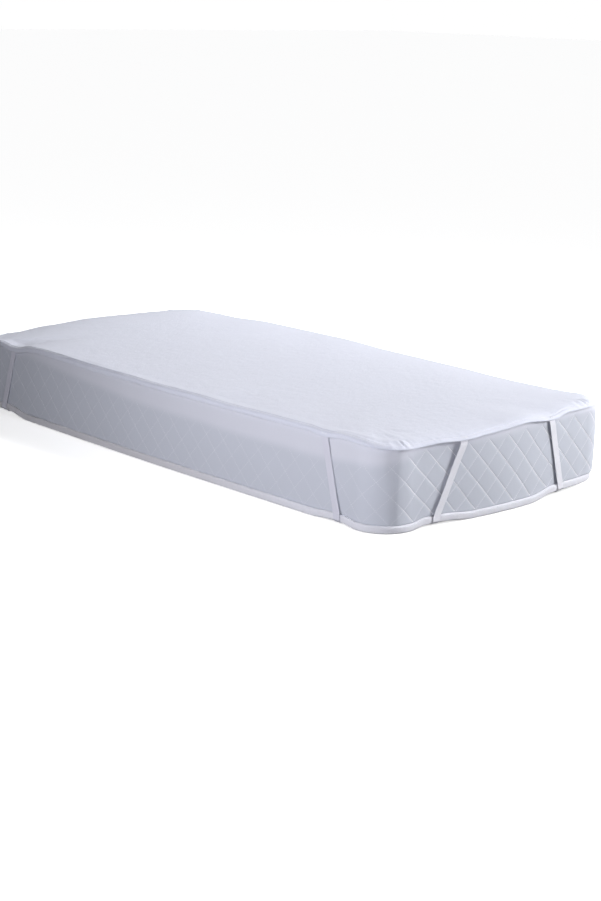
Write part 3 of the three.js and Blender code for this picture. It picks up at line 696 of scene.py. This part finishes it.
# %% The quilted border
QUARTER_PITCH = PERIMETER / (4 * DIAMONDS_ROUND)
MATTRESS_COLUMNS = 4 * DIAMONDS_ROUND * FINE
QUILT_SHIFT = 8 * QUARTER_PITCH / FINE

# How strongly the lines are drawn in: place along the side, strength
quilt_strength = edge_curve({
    "head": [(0, 0.9)],
    "near": [(-900, 0.45), (0, 0.32), (760, 0.2)],
    "foot": [(-410, 0.25), (-355, 1), (345, 1)],
    "far": [(860, 0.7), (-860, 0.7)],
})

# Where the quilting fades into the plain strip on top: place, share of the height
quilt_top = edge_curve({
    "head": [(0, 0.95), (-380, 1.0), (380, 0.98)],
    "near": [(-800, 1.05), (-560, 0.92), (-350, 0.84), (0, 0.76), (700, 0.74), (880, 0.8)],
    "foot": [(-400, 0.88), (-280, 1.0), (0, 0.98), (250, 1.02), (400, 0.97)],
    "far": [(800, 0.8), (0, 0.78), (-800, 0.9)],
})

# Upright folds of the border, or swellings where the depth is below 0: side, place, half
# width, depth, lowest and highest share of its height
BORDER_FOLDS = [
    ("foot", -402, 21, -3.2, -0.3, 1.6), ("foot", -402, 6, 2.5, -0.2, 0.85),
    ("foot", -408, 12, 3.4, 0.5, 1.6), ("far", 929, 75, -11, -0.22, 1.5),
    ("far", -905, 16, 1.5, 0, 0.8), ("near", -900, 14, 1.5, 0, 0.8),
]


def line_distance(i, j):
    """How far a point is from the nearest rising line and the nearest falling one, where 1
    is half the way to the next line."""
    return [np.abs(np.mod(step + 2, 4) - 2) / 2 for step in (i - j, i + j)]


def plainness(i, j):
    """0 where the border is quilted and 1 in the plain strip on top."""
    past = j / QUARTERS_HIGH - quilt_top(QUILT_SHIFT + i * QUARTER_PITCH)
    return smooth_step(past, -PLAIN_FADE, PLAIN_FADE)


def line_strength(i, j):
    """How strongly the lines show at a point."""
    return quilt_strength(QUILT_SHIFT + i * QUARTER_PITCH) * (1 - plainness(i, j))


def on_grooves(i, j, amounts):
    """The larger of two amounts, one on the rising lines and one on the falling ones, each
    of which falls evenly to 0 at the groove's reach."""
    left = [np.clip(1 - near / GROOVE_REACH, 0, 1) for near in line_distance(i, j)]
    return np.maximum(amounts[0] * left[0], amounts[1] * left[1])


def tone_and_painted_highlight(i, j):
    """How far the cloth is towards its lighter colour: wholly in the plain strip, whose lighter
    colour is partly its own tone and partly painted light, and partly along the stitched
    lines, as painted highlight on the grooves."""
    return np.maximum(plainness(i, j), on_grooves(i, j, GROOVE_HIGHLIGHTS) * line_strength(i, j))


def quilt_press(i, j):
    """How far a point is pressed in: a very flat pillow whose depth falls with the square of
    the way to the line, and a narrow groove on the line, deeper on the falling lines."""
    puff = PUFF_DEPTH * (1 - np.minimum(*line_distance(i, j))) ** 2
    press = puff + on_grooves(i, j, GROOVE_DEPTHS)
    return press * line_strength(i, j) * smooth_step(j, 0, FOOT_FADE)


def fold_depth(place, share):
    """Sum of the upright folds: a bell across each, faded at its top and foot."""
    total = 0
    for side, where, width, depth, low, high in BORDER_FOLDS:
        grown = smooth_step(share, low, low + FOLD_FADE)
        fade = grown * (1 - smooth_step(share, high - FOLD_FADE, high))
        total = total + depth * bell(around(place, PLACE[side](where)), width) * fade
    return total


def border_point(i, j):
    """A point of the border, i quarters of a diamond round it and j up it. Above the last
    quarter, the shoulder turns in along a quarter of an ellipse."""
    place = QUILT_SHIFT + i * QUARTER_PITCH
    base = STEP_HEIGHT + bottom_lift(place)
    top = turn_height(place) - EDGE_CLEARANCE - SHOULDER_DROP
    share = np.minimum(j / QUARTERS_HIGH, 1)
    turn = np.clip((j - QUARTERS_HIGH) / SHOULDER_QUARTERS, 0, 1) * math.pi / 2
    press = quilt_press(i, j) + fold_depth(place, j / QUARTERS_HIGH)
    belly = SIDE_BELLY * np.sin(math.pi * share)
    out = belly - press * np.cos(turn) - SHOULDER_INSET * (1 - np.cos(turn))
    shoulder = (SHOULDER_DROP - press * SHOULDER_PRESS) * np.sin(turn)
    return at_edge(place, out, mix(base, top, share) + shoulder)


quarters_round = np.arange(MATTRESS_COLUMNS) / FINE
border_rows = np.arange(QUARTERS_HIGH * FINE + 1) / FINE
shoulder_rows = QUARTERS_HIGH + SHOULDER_QUARTERS * np.arange(1, SHOULDER_ROWS + 1) / SHOULDER_ROWS
border = border_point(quarters_round[None, :], np.append(border_rows, shoulder_rows)[:, None])
places = QUILT_SHIFT + quarters_round * QUARTER_PITCH
under = [
    towards_middle(places, UNDER_INSET, 1, 0),
    at_edge(places, -UNDER_INSET, under_relief(places)),
    at_edge(places, -STEP_DEPTH, bottom_lift(places)),
    at_edge(places, -STEP_DEPTH, STEP_HEIGHT + bottom_lift(places)),
]
covered = [
    towards_middle(places, SHOULDER_INSET, share, top_height(places, share) - TOP_CLEARANCE)
    for share in (0.12, 0.45, 1)
]
mattress_points = np.concatenate([under, border, covered])


def split_squares(rows, first, last):
    """The grid's squares as triangles. Between two rows, where the border is, each is split
    along the stitched line nearest to it."""
    squares = np.reshape(grid_faces(rows, MATTRESS_COLUMNS), (rows - 1, MATTRESS_COLUMNS, 4))
    row = np.arange(rows - 1)[:, None]
    middle = 0.5 / FINE
    rising, falling = line_distance(quarters_round + middle, (row - first) / FINE + middle)
    other = (falling < rising) & (row >= first) & (row < last)
    plain = squares[..., [0, 1, 2, 0, 2, 3]]
    turned = squares[..., [0, 1, 3, 1, 2, 3]]
    return np.where(other[..., None], turned, plain).reshape(-1, 3).tolist()


triangles = split_squares(len(mattress_points), len(under), len(under) + len(border_rows) - 1)
above = np.full(len(covered), 2 * QUARTERS_HIGH)
levels = np.concatenate([np.zeros(len(under)), border_rows, shoulder_rows, above])
mattress = link("mattress_quilted", mattress_points, triangles, close=True,
                share=tone_and_painted_highlight(quarters_round[None, :], levels[:, None]))

# %% The quilting's thread
QUILT_STITCH, STITCHES_A_LINE = 0.165, 54
FAINTEST_LINE, THREAD_LEAST, THREAD_SWELL = 0.16, 0.3, 2.5
stitch_low = np.linspace(0.15, QUARTERS_HIGH + 1, STITCHES_A_LINE)[None, :]
line = 4.0 * np.arange(DIAMONDS_ROUND)[:, None]
quilt_starts, quilt_ends, quilt_out, quilt_width = [], [], [], []
for slope, widest in zip((1, -1), THREAD_WIDTHS):
    low_i, high_i = line + slope * stitch_low, line + slope * (stitch_low + QUILT_STITCH)
    strength = line_strength(low_i, stitch_low)
    clear = strength > FAINTEST_LINE
    quilt_width.append(mix(THREAD_LEAST, widest, strength ** THREAD_SWELL)[clear][:, None])
    _, _, out_x, out_y = outline(QUILT_SHIFT + low_i * QUARTER_PITCH)
    quilt_starts.append(border_point(low_i, stitch_low)[clear])
    quilt_ends.append(border_point(high_i, stitch_low + QUILT_STITCH)[clear])
    quilt_out.append(np.stack([out_x, out_y, 0 * out_x], -1)[clear])
starts, ends, outs = map(np.concatenate, (quilt_starts, quilt_ends, quilt_out))
widths = np.concatenate(quilt_width)
quilt_thread = stitches("quilt_thread", starts, ends, outs, width=widths, rise=0.5 * widths)

# %% [markdown]
# ## The soft tape round the bottom edge
# A fleecy tape binds the bottom seam. It is a flat soft roll, pinched where each band
# crosses it and fuller beside the bands, and short stitches whip its lower edge down.

# %% The edge tape
TAPE_MIDDLE_OUT, TAPE_MIDDLE_UP = -2.7, 11.0
TAPE_HALF_DEPTH, TAPE_HALF_HEIGHT = 8.3, 10.7
TAPE_SQUARENESS = 0.58
TAPE_BACK, TAPE_FOOT = -11.4, 0.5  # as far in, and as low, as the roll may reach
LUMP_LENGTHS, LUMPINESS = (61, 37, 23, 14), 0.03
PINCH_WIDTH, PINCH_IN, PINCH_UP = 15, 1.3, 0.7
SWELL_BESIDE, SWELL_WIDTH, SWELL = 30, 11, 0.5
FOOT_CROSSING_SHIFT = {-1: -13, 1: -18}


def crossing_place(side, sign):
    """Where the band on one half of a side, -1 or 1, crosses the tape."""
    if side in ("near", "far"):
        return PLACE[side](sign * LONG_CROSSING)
    return PLACE[side](sign * END_CROSSING + (FOOT_CROSSING_SHIFT[sign] if side == "foot" else 0))


crossings = [crossing_place(side, sign) for side in TOP_ALONG for sign in (-1, 1)]


def pinch(place):
    """1 under a band, a little below 0 beside it and 0 elsewhere."""
    away = [np.abs(around(place, where)) for where in crossings]
    return sum(bell(d, PINCH_WIDTH) - SWELL * bell(d - SWELL_BESIDE, SWELL_WIDTH) for d in away)


def tape_point(place, angle):
    """A rounded box carried round the edge: cosine and sine raised to a power under one."""
    c, s = np.cos(angle), np.sin(angle)
    across, up = (np.sign(part) * np.abs(part) ** TAPE_SQUARENESS for part in (c, s))
    full = 1 + LUMPINESS * waves(place, LUMP_LENGTHS, seed=4, twist=angle)
    squeeze = pinch(place)
    out = TAPE_MIDDLE_OUT + TAPE_HALF_DEPTH * full * across - PINCH_IN * squeeze * np.clip(c, 0, 1)
    height = TAPE_MIDDLE_UP + (TAPE_HALF_HEIGHT - PINCH_UP * squeeze) * up
    lifted = np.maximum(height, TAPE_FOOT) + bottom_lift(place)
    return at_edge(place + 0 * angle, np.maximum(out, TAPE_BACK), lifted)


TAPE_COLUMNS, TAPE_SECTION = 1500, 30
tape_place = np.arange(TAPE_COLUMNS) * PERIMETER / TAPE_COLUMNS
angle = (np.arange(TAPE_SECTION) * 2 * math.pi / TAPE_SECTION)[:, None]
tape_points = tape_point(tape_place[None, :], angle)
tape_faces = grid_faces(TAPE_SECTION, TAPE_COLUMNS, wrap_rows=True)
# Painted light: the tape turns to its lighter colour towards the foot end, where the key lamp
# falls, and keeps painted shade towards the head.
painted_light_footwards = smooth_step(tape_points[..., 0], 0, 700)
tape = link("edge_tape", tape_points, tape_faces, close=True, share=painted_light_footwards)

# %% The tape's whip stitches
WHIP_PITCH, WHIP_SLANT, WHIP_LIFT, WHIP_DIP = 6.4, 0.8, 0.25, 0.35
WHIP_TOP, WHIP_FOOT = math.radians(-14), math.radians(-50)
whips = np.arange(0, PERIMETER - WHIP_PITCH / 2, WHIP_PITCH)
_, _, out_x, out_y = outline(whips)
whip_out = np.stack([out_x, out_y, 0 * out_x - WHIP_DIP], -1)
whip_starts = tape_point(whips - WHIP_SLANT, WHIP_TOP) + WHIP_LIFT * whip_out
whip_ends = tape_point(whips + WHIP_SLANT, WHIP_FOOT) + WHIP_LIFT * whip_out
whip_thread = stitches("whip_thread", whip_starts, whip_ends, whip_out, width=1.3, rise=0.9)

# %% [markdown]
# ## The elastic bands
# A flat band of ribbed elastic is sewn behind the hem on the long side, runs down over
# the tape, turns under the mattress towards the corner and comes up again to the hem
# of the end. Its middle line is a smooth curve through a few knots, and a ribbed
# section is carried along it.

# %% The bands' path
STRAP_WIDTH, STRAP_THICKNESS, STRAP_CLEARANCE = 25, 1.2, 0.65
SEWN_FROM, SEWN_SHARE = 0.62, 0.35
LEG_SHARES = (0.04, 0.25, 0.5, 0.75, 0.97)
TAPE_TOP = (5.6, 14.5)
# Round the tape: how far out and up, and how much of the band's reach is added to each
TAPE_KNOTS = ((5.6, 7, 1, -0.4), (3.4, 3, 0, 0), (-0.1, 0.5, 0, -1))
# Under the mattress: how far in, how far towards the corner, share of the lift
UNDER_KNOTS = ((12, 1, 0.66), (24, 5, 0.22), (36, 14, 0), (48, 26, 0))


def along_edge(place):
    """Direction along the outline at a place."""
    return unit(at_edge(place + 1, 0, 0) - at_edge(place - 1, 0, 0))


def hem_back(place, bend):
    """Point on the back of the cloth round its bend, out and up, without creases."""
    here = np.array(bend_section(place, bend))
    step = np.array(bend_section(place, bend - 0.01)) - here
    normal = unit(np.array([step[1], -step[0]]))
    return here - normal * math.copysign(SHEET_THICKNESS / 2, normal[1])


def strap_leg(top, crossing):
    """Knots down a leg: straight from behind the hem to the tape, then round under it."""
    lift, reach = float(bottom_lift(crossing)), STRAP_THICKNESS / 2 + STRAP_CLEARANCE
    above, hem = hem_back(top, SEWN_FROM), hem_back(top, 1.0)
    down = unit(hem - above)
    behind = np.array([down[1], -down[0]]) * reach
    tape_top = np.array([TAPE_TOP[0] + reach, TAPE_TOP[1] + lift])
    knots = [(0, mix(above, hem, SEWN_SHARE) + behind)]
    knots += [(share, mix(hem + behind, tape_top, share)) for share in LEG_SHARES]
    knots += [(1, (out + reach * a, up + lift + reach * b)) for out, up, a, b in TAPE_KNOTS]
    places = [mix(top, crossing, share) for share, _ in knots]
    points = [at_edge(p, out, height) for p, (_, (out, height)) in zip(places, knots)]
    return points, [along_edge(p) for p in places]


def strap_under(crossing, corner):
    """Knots under the mattress: the band comes down flat and turns to its corner."""
    towards = along_edge(crossing) * math.copysign(1, corner - crossing)
    lift = float(bottom_lift(crossing))
    return [
        at_edge(crossing, -inset, lifted * lift + STRAP_THICKNESS / 2) + towards * along
        for inset, along, lifted in UNDER_KNOTS
    ]


def strap_guide(long_side, end_side, sign_x, sign_y):
    """All the knots of one band, and the way its width lies at each."""
    legs, unders = [], []
    for side, sign, straight in ((long_side, sign_x, HALF_LONG), (end_side, sign_y, HALF_END)):
        crossing = crossing_place(side, sign)
        legs.append(strap_leg(PLACE[side](sign * TOP_ALONG[side]), crossing))
        unders.append(strap_under(crossing, PLACE[side](sign * straight)))
    (down, down_across), (rise, rise_across) = legs
    points = np.array(down + unders[0] + unders[1][::-1] + rise[::-1])
    along = np.gradient(points, axis=0)
    across = unit(np.stack([along[:, 1], -along[:, 0], 0 * along[:, 0]], -1))
    across[:len(down)] = down_across
    across[-len(rise):] = -np.array(rise_across[::-1])
    return points, across


print("a band has", len(strap_guide("near", "head", -1, -1)[0]), "knots")

# %% The bands
RIBS, RIB_DEPTH = 9, 0.16
SECTION_POINTS = 37
EDGE_THINNESS, EDGE_STEEPNESS = 0.35, 60


def through(knots, values, steps=8):
    """Cubic curve through the values at knots, with a few steps between them and paced by
    the square roots of its chords: the slope at a knot is that of the parabola through it
    and its neighbours."""
    chord = np.append(0, np.cumsum(np.sqrt(np.linalg.norm(np.diff(knots, axis=0), axis=1))))
    slope = np.gradient(values, chord, axis=0)
    t = np.linspace(chord[:-1], chord[1:], steps, endpoint=False, axis=1).ravel()
    t = np.append(t, chord[-1])
    k = np.clip(np.searchsorted(chord, t, side="right") - 1, 0, len(chord) - 2)
    span = (chord[k + 1] - chord[k])[:, None]
    return cubic(values, slope, k, k + 1, (t - chord[k])[:, None] / span, span)


def ribbed_section():
    """Across the band and through it: a flat strip whose faces rise and fall in ribs."""
    across = np.linspace(-0.5, 0.5, SECTION_POINTS)
    rib = RIB_DEPTH * (np.abs(np.cos(math.pi * RIBS * across)) - 0.5)
    taper = np.clip((0.5 - np.abs(across)) * EDGE_STEEPNESS, EDGE_THINNESS, 1)
    thick = (STRAP_THICKNESS / 2 + rib) * taper
    across = np.concatenate([across, across[::-1]])
    return across * STRAP_WIDTH, np.concatenate([thick, -thick[::-1]])


def band_piece(name, long_side, end_side, sign_x, sign_y):
    """Carries the ribbed section along the band's path and closes both its ends."""
    knots, ways = strap_guide(long_side, end_side, sign_x, sign_y)
    path = through(knots, knots)
    across = unit(through(knots, ways))
    along = unit(np.gradient(path, axis=0))
    out = unit(np.cross(along, across))
    w, t = ribbed_section()
    points = path[:, None] + across[:, None] * w[:, None] + out[:, None] * t[:, None]
    points[..., 2] = np.maximum(points[..., 2], 0)
    length = run_length(path)
    rows, section = points.shape[:2]
    faces = grid_faces(rows, section)
    faces += [list(range(section))[::-1], list(range((rows - 1) * section, rows * section))]
    uv = np.stack(np.broadcast_arrays(w, length[:, None]), -1)
    # Painted light: the band turns to its lighter colour along its end leg, and keeps painted shade
    # along its long-side leg.
    end_leg_painted_light = np.repeat(smooth_step(length / length[-1], 0.35, 0.65), section)
    piece = link(name, points, faces, close=True, share=end_leg_painted_light, uv=uv)
    print(f"{length[-1]:.0f} mm long")
    return piece, float(length[-1])


BANDS = {
    "strap_near_head": ("near", "head", -1, -1),
    "strap_near_foot": ("near", "foot", 1, -1),
    "strap_far_foot": ("far", "foot", 1, 1),
    "strap_far_head": ("far", "head", -1, 1),
}
bands = {node: band_piece(node.replace("strap", "band"), *corner) for node, corner in BANDS.items()}

# %% [markdown]
# ## Finishes
# Everything is white cloth, so the finishes differ by their texture: towelling loops
# on the protector, a smooth knit on the border, fleece on the tape and ribs on the
# bands. Patterns read Object coordinates, or the bands' own flat map, so they keep their
# real size. Each piece's share draws its second, lighter colour in: painted light on the
# tape's foot end and on the bands' end legs, painted highlight along the border's grooves,
# and in the border's plain strip partly its own tone and partly painted light.

# %% Materials
CLOUD_SCALE = 9.0  # clouds in a metre


def set_inputs(node, inputs):
    """Joins each input to another node's socket, or sets it to a value."""
    for key, value in inputs.items():
        if isinstance(value, bpy.types.NodeSocket):
            node.id_data.links.new(value, node.inputs[key])
        else:
            node.inputs[key].default_value = value


def add_node(material, kind, inputs, **settings):
    """A new node with its settings and inputs."""
    node = material.node_tree.nodes.new("ShaderNode" + kind)
    for key, value in settings.items():
        setattr(node, key, value)
    set_inputs(node, inputs)
    return node


def new_material(name, inputs):
    """A material with a Principled shader and some of its inputs."""
    material = bpy.data.materials.new(name)
    material.use_nodes = True
    shader = material.node_tree.nodes["Principled BSDF"]
    set_inputs(shader, inputs)
    return material, shader


def pattern(material, where, kind, scale):
    """A pattern from 0 to 1: cloudy noise, round loops from cells, or straight ribs."""
    inputs = {"Vector": where, "Scale": scale}
    if kind == "noise":
        return add_node(material, "TexNoise", {**inputs, "Detail": 3.0}).outputs["Fac"]
    if kind == "loops":
        cells = add_node(material, "TexVoronoi", inputs).outputs["Distance"]
        return add_node(material, "Math", {0: 1.0, 1: cells}, operation="SUBTRACT").outputs[0]
    inputs["Distortion"] = 0.4
    return add_node(material, "TexWave", inputs, bands_direction=kind.upper()).outputs["Fac"]


def cloth_material(name, colours, roughness, sheen, grains, tone=0.02, mapped="Object"):
    """Cloth: two colours mixed by the piece's share, darkened a little in random clouds and
    with painted shade in the hollows of the first grain, and a bump added up from the grains,
    each a pattern, its scale per metre, a depth in metres and a strength."""
    material, shader = new_material(name, {
        "Roughness": roughness, "Specular IOR Level": 0.15,
        "Sheen Weight": sheen, "Sheen Roughness": 0.6,
    })
    places = add_node(material, "TexCoord", {}).outputs
    heights = [pattern(material, places[mapped], kind, scale) for kind, scale, _, _ in grains]
    share = add_node(material, "Attribute", {}, attribute_name="share").outputs["Fac"]
    mixed = {0: share, 6: (*colours[0], 1), 7: (*colours[-1], 1)}
    blend = add_node(material, "Mix", mixed, data_type="RGBA").outputs[2]
    shades = {}
    clouds = pattern(material, places["Object"], "noise", CLOUD_SCALE)
    # Clouds vary the tone at random. The first grain's hollows get painted shade.
    for k, (value, dark) in enumerate(((clouds, tone), (heights[0], 2 * tone))):
        limits = {"Value": value, "To Min": 1 - dark, "To Max": 1 + tone}
        shades[k] = add_node(material, "MapRange", limits).outputs[0]
    shade = add_node(material, "Math", shades, operation="MULTIPLY").outputs[0]
    shaded = {0: blend, "Scale": shade}
    tint = add_node(material, "VectorMath", shaded, operation="SCALE").outputs[0]
    bump = {}
    for height, (_, _, depth, strength) in zip(heights, grains):
        inputs = {"Height": height, "Distance": depth, "Strength": strength, **bump}
        bump = {"Normal": add_node(material, "Bump", inputs).outputs["Normal"]}
    set_inputs(shader, {"Base Color": tint, **bump})
    return material


towelling = cloth_material(
    "towelling", [(0.641, 0.662, 0.764)], 0.95, 0.25,
    [("loops", 480, 0.0009, 0.6), ("noise", 150, 0.0012, 0.3), ("noise", 42, 0.004, 0.4)],
)
# The second, lighter colour is painted highlight along the grooves. In the plain strip it is partly
# the strip's own tone and partly painted light.
border_knit = cloth_material(
    "border_knit", [(0.512, 0.536, 0.609), (0.598, 0.61, 0.686)], 0.85, 0.15,
    [("z", 110, 0.0003, 0.4), ("noise", 700, 0.0003, 0.4), ("noise", 60, 0.0008, 0.3)],
)
# Second colour: painted light on the tape's foot end. The first colour is painted shade towards its
# head.
fleece = cloth_material(
    "fleece", [(0.575, 0.567, 0.61), (0.66, 0.665, 0.73)], 1.0, 0.4,
    [("noise", 520, 0.0012, 0.7), ("loops", 260, 0.001, 0.4), ("noise", 110, 0.002, 0.5)],
)
thread = cloth_material("thread", [(0.87, 0.88, 0.91)], 0.6, 0.1, [("noise", 2500, 0.0001, 0.4)])
# Second colour: painted light on the bands' end legs. The first colour is painted shade on their
# long-side legs.
elastic = cloth_material(
    "elastic", [(0.61, 0.612, 0.70), (0.755, 0.755, 0.82)], 0.8, 0.1,
    [("y", 260, 0.0003, 0.6), ("noise", 900, 0.0002, 0.4)], mapped="UV",
)

for finish, pieces in (
    (towelling, [sheet]),
    (border_knit, [mattress]),
    (fleece, [tape]),
    (thread, [hem_seam, bar_tacks, quilt_thread, whip_thread]),
    (elastic, [band for band, _ in bands.values()]),
):
    for piece in pieces:
        piece.data.materials.append(finish)
    print(finish.name, "on", ", ".join(piece.name for piece in pieces))

# %% [markdown]
# ## The studio
# The floor is pale and glows a little, so it stays white round the mattress, and so do
# walls far off, which throw no shadow. A wide soft sun and two large lamps light the top
# from above the far side. The key lamp stands off the foot end, which makes that end the
# brighter face. Two small bluish lamps light the near side from its middle and its foot
# end, so that side darkens towards the head.

# %% The floor and the walls
FLOOR_REACH, FLOOR_DROP = 40, 0.0005  # metres


def stage_piece(name, points, faces, colour, glow):
    """A flat-faced piece of the studio, which lights nothing though it glows."""
    mesh = bpy.data.meshes.new(name)
    mesh.from_pydata(points, [], faces)
    piece = new_object(name, mesh)
    paint, _ = new_material(name + "_paint", {
        "Base Color": (*colour, 1), "Roughness": 0.9, "Specular IOR Level": 0.1,
        "Emission Color": (1, 1, 1, 1), "Emission Strength": glow,
    })
    mesh.materials.append(paint)
    piece.visible_diffuse = False
    return piece


square = [(x * FLOOR_REACH, y * FLOOR_REACH) for x, y in ((-1, -1), (1, -1), (1, 1), (-1, 1))]
corners = [(x, y, -FLOOR_DROP) for x, y in square]
stage_piece("floor", corners, [(0, 1, 2, 3)], (0.98, 0.98, 0.98), 0.6)
corners += [(x, y, FLOOR_REACH) for x, y in square]
wall_faces = [(4, 5, 1, 0), (5, 6, 2, 1), (6, 7, 3, 2), (7, 4, 0, 3), (7, 6, 5, 4)]
walls = stage_piece("walls", corners, wall_faces, (0, 0, 0), 1.0)
walls.visible_shadow = False
walls.visible_glossy = False
print("floor and walls", 2 * FLOOR_REACH, "m across")

# %% The room's light
world = bpy.data.worlds.new("studio")
bpy.context.scene.world = world
world.use_nodes = True
room_light = {"Color": (0.96, 0.97, 1.0, 1), "Strength": 0.08}
set_inputs(world.node_tree.nodes["Background"], room_light)


def aim_lamp(name, kind, spot, aim, power, **settings):
    """Puts a lamp at a spot, turned so that it shines at another point."""
    lamp = bpy.data.lights.new(name, kind)
    lamp.energy = power
    for key, value in settings.items():
        setattr(lamp, key, value)
    lamp_object = new_object(name, lamp)
    turn = (Vector(aim) - Vector(spot)).to_track_quat("-Z", "Y")
    lamp_object.matrix_world = Matrix.Translation(spot) @ turn.to_matrix().to_4x4()
    lamp_object.visible_camera = False
    print(f"{name}: {power} {'W' if kind == 'AREA' else 'W/m2'}")


BLUISH = (0.97, 0.965, 1.0)
aim_lamp("far_window", "SUN", (1.4, 3.2, 3.0), (0, 0, 0), 1.5, angle=math.radians(30))
aim_lamp("foot_key", "AREA", (2.7, 2.15, 1.1), (0.95, 0.1, 0.12), 93, size=1.2)
aim_lamp("top_middle", "AREA", (0.4, 1.5, 2.0), (0.2, 0.1, 0.25), 11, size=1.4)
aim_lamp("top_head", "AREA", (-0.8, 1.3, 1.7), (-0.6, 0.1, 0.25), 22, size=1.2)
aim_lamp("near_side", "AREA", (0.38, -1.85, 0.5), (0.36, -0.45, 0.15), 15.4, size=0.5, color=BLUISH)
aim_lamp("near_graze", "AREA", (1.7, -1.3, 0.4), (0.3, -0.46, 0.12), 8.6, size=0.4, color=BLUISH)

bpy.context.scene.view_settings.view_transform = "Standard"

# %% [markdown]
# ## What each piece is
# Each piece rides on the one body and stands for the solid it covers, whose imported
# part is hidden.

for piece, slot, node in (
    (sheet, "protector_cloth", "protector_sheet"),
    (mattress, "mattress_border", "mattress"),
    (tape, "edge_tape", "mattress_edge_tape"),
    (hem_seam, "protector_cloth", "protector_sheet"),
    (bar_tacks, "protector_cloth", "protector_sheet"),
    (quilt_thread, "mattress_border", "mattress"),
    (whip_thread, "edge_tape", "mattress_edge_tape"),
    *((band, "elastic", node) for node, (band, _) in bands.items()),
):
    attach(piece, "root")
    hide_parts(node)
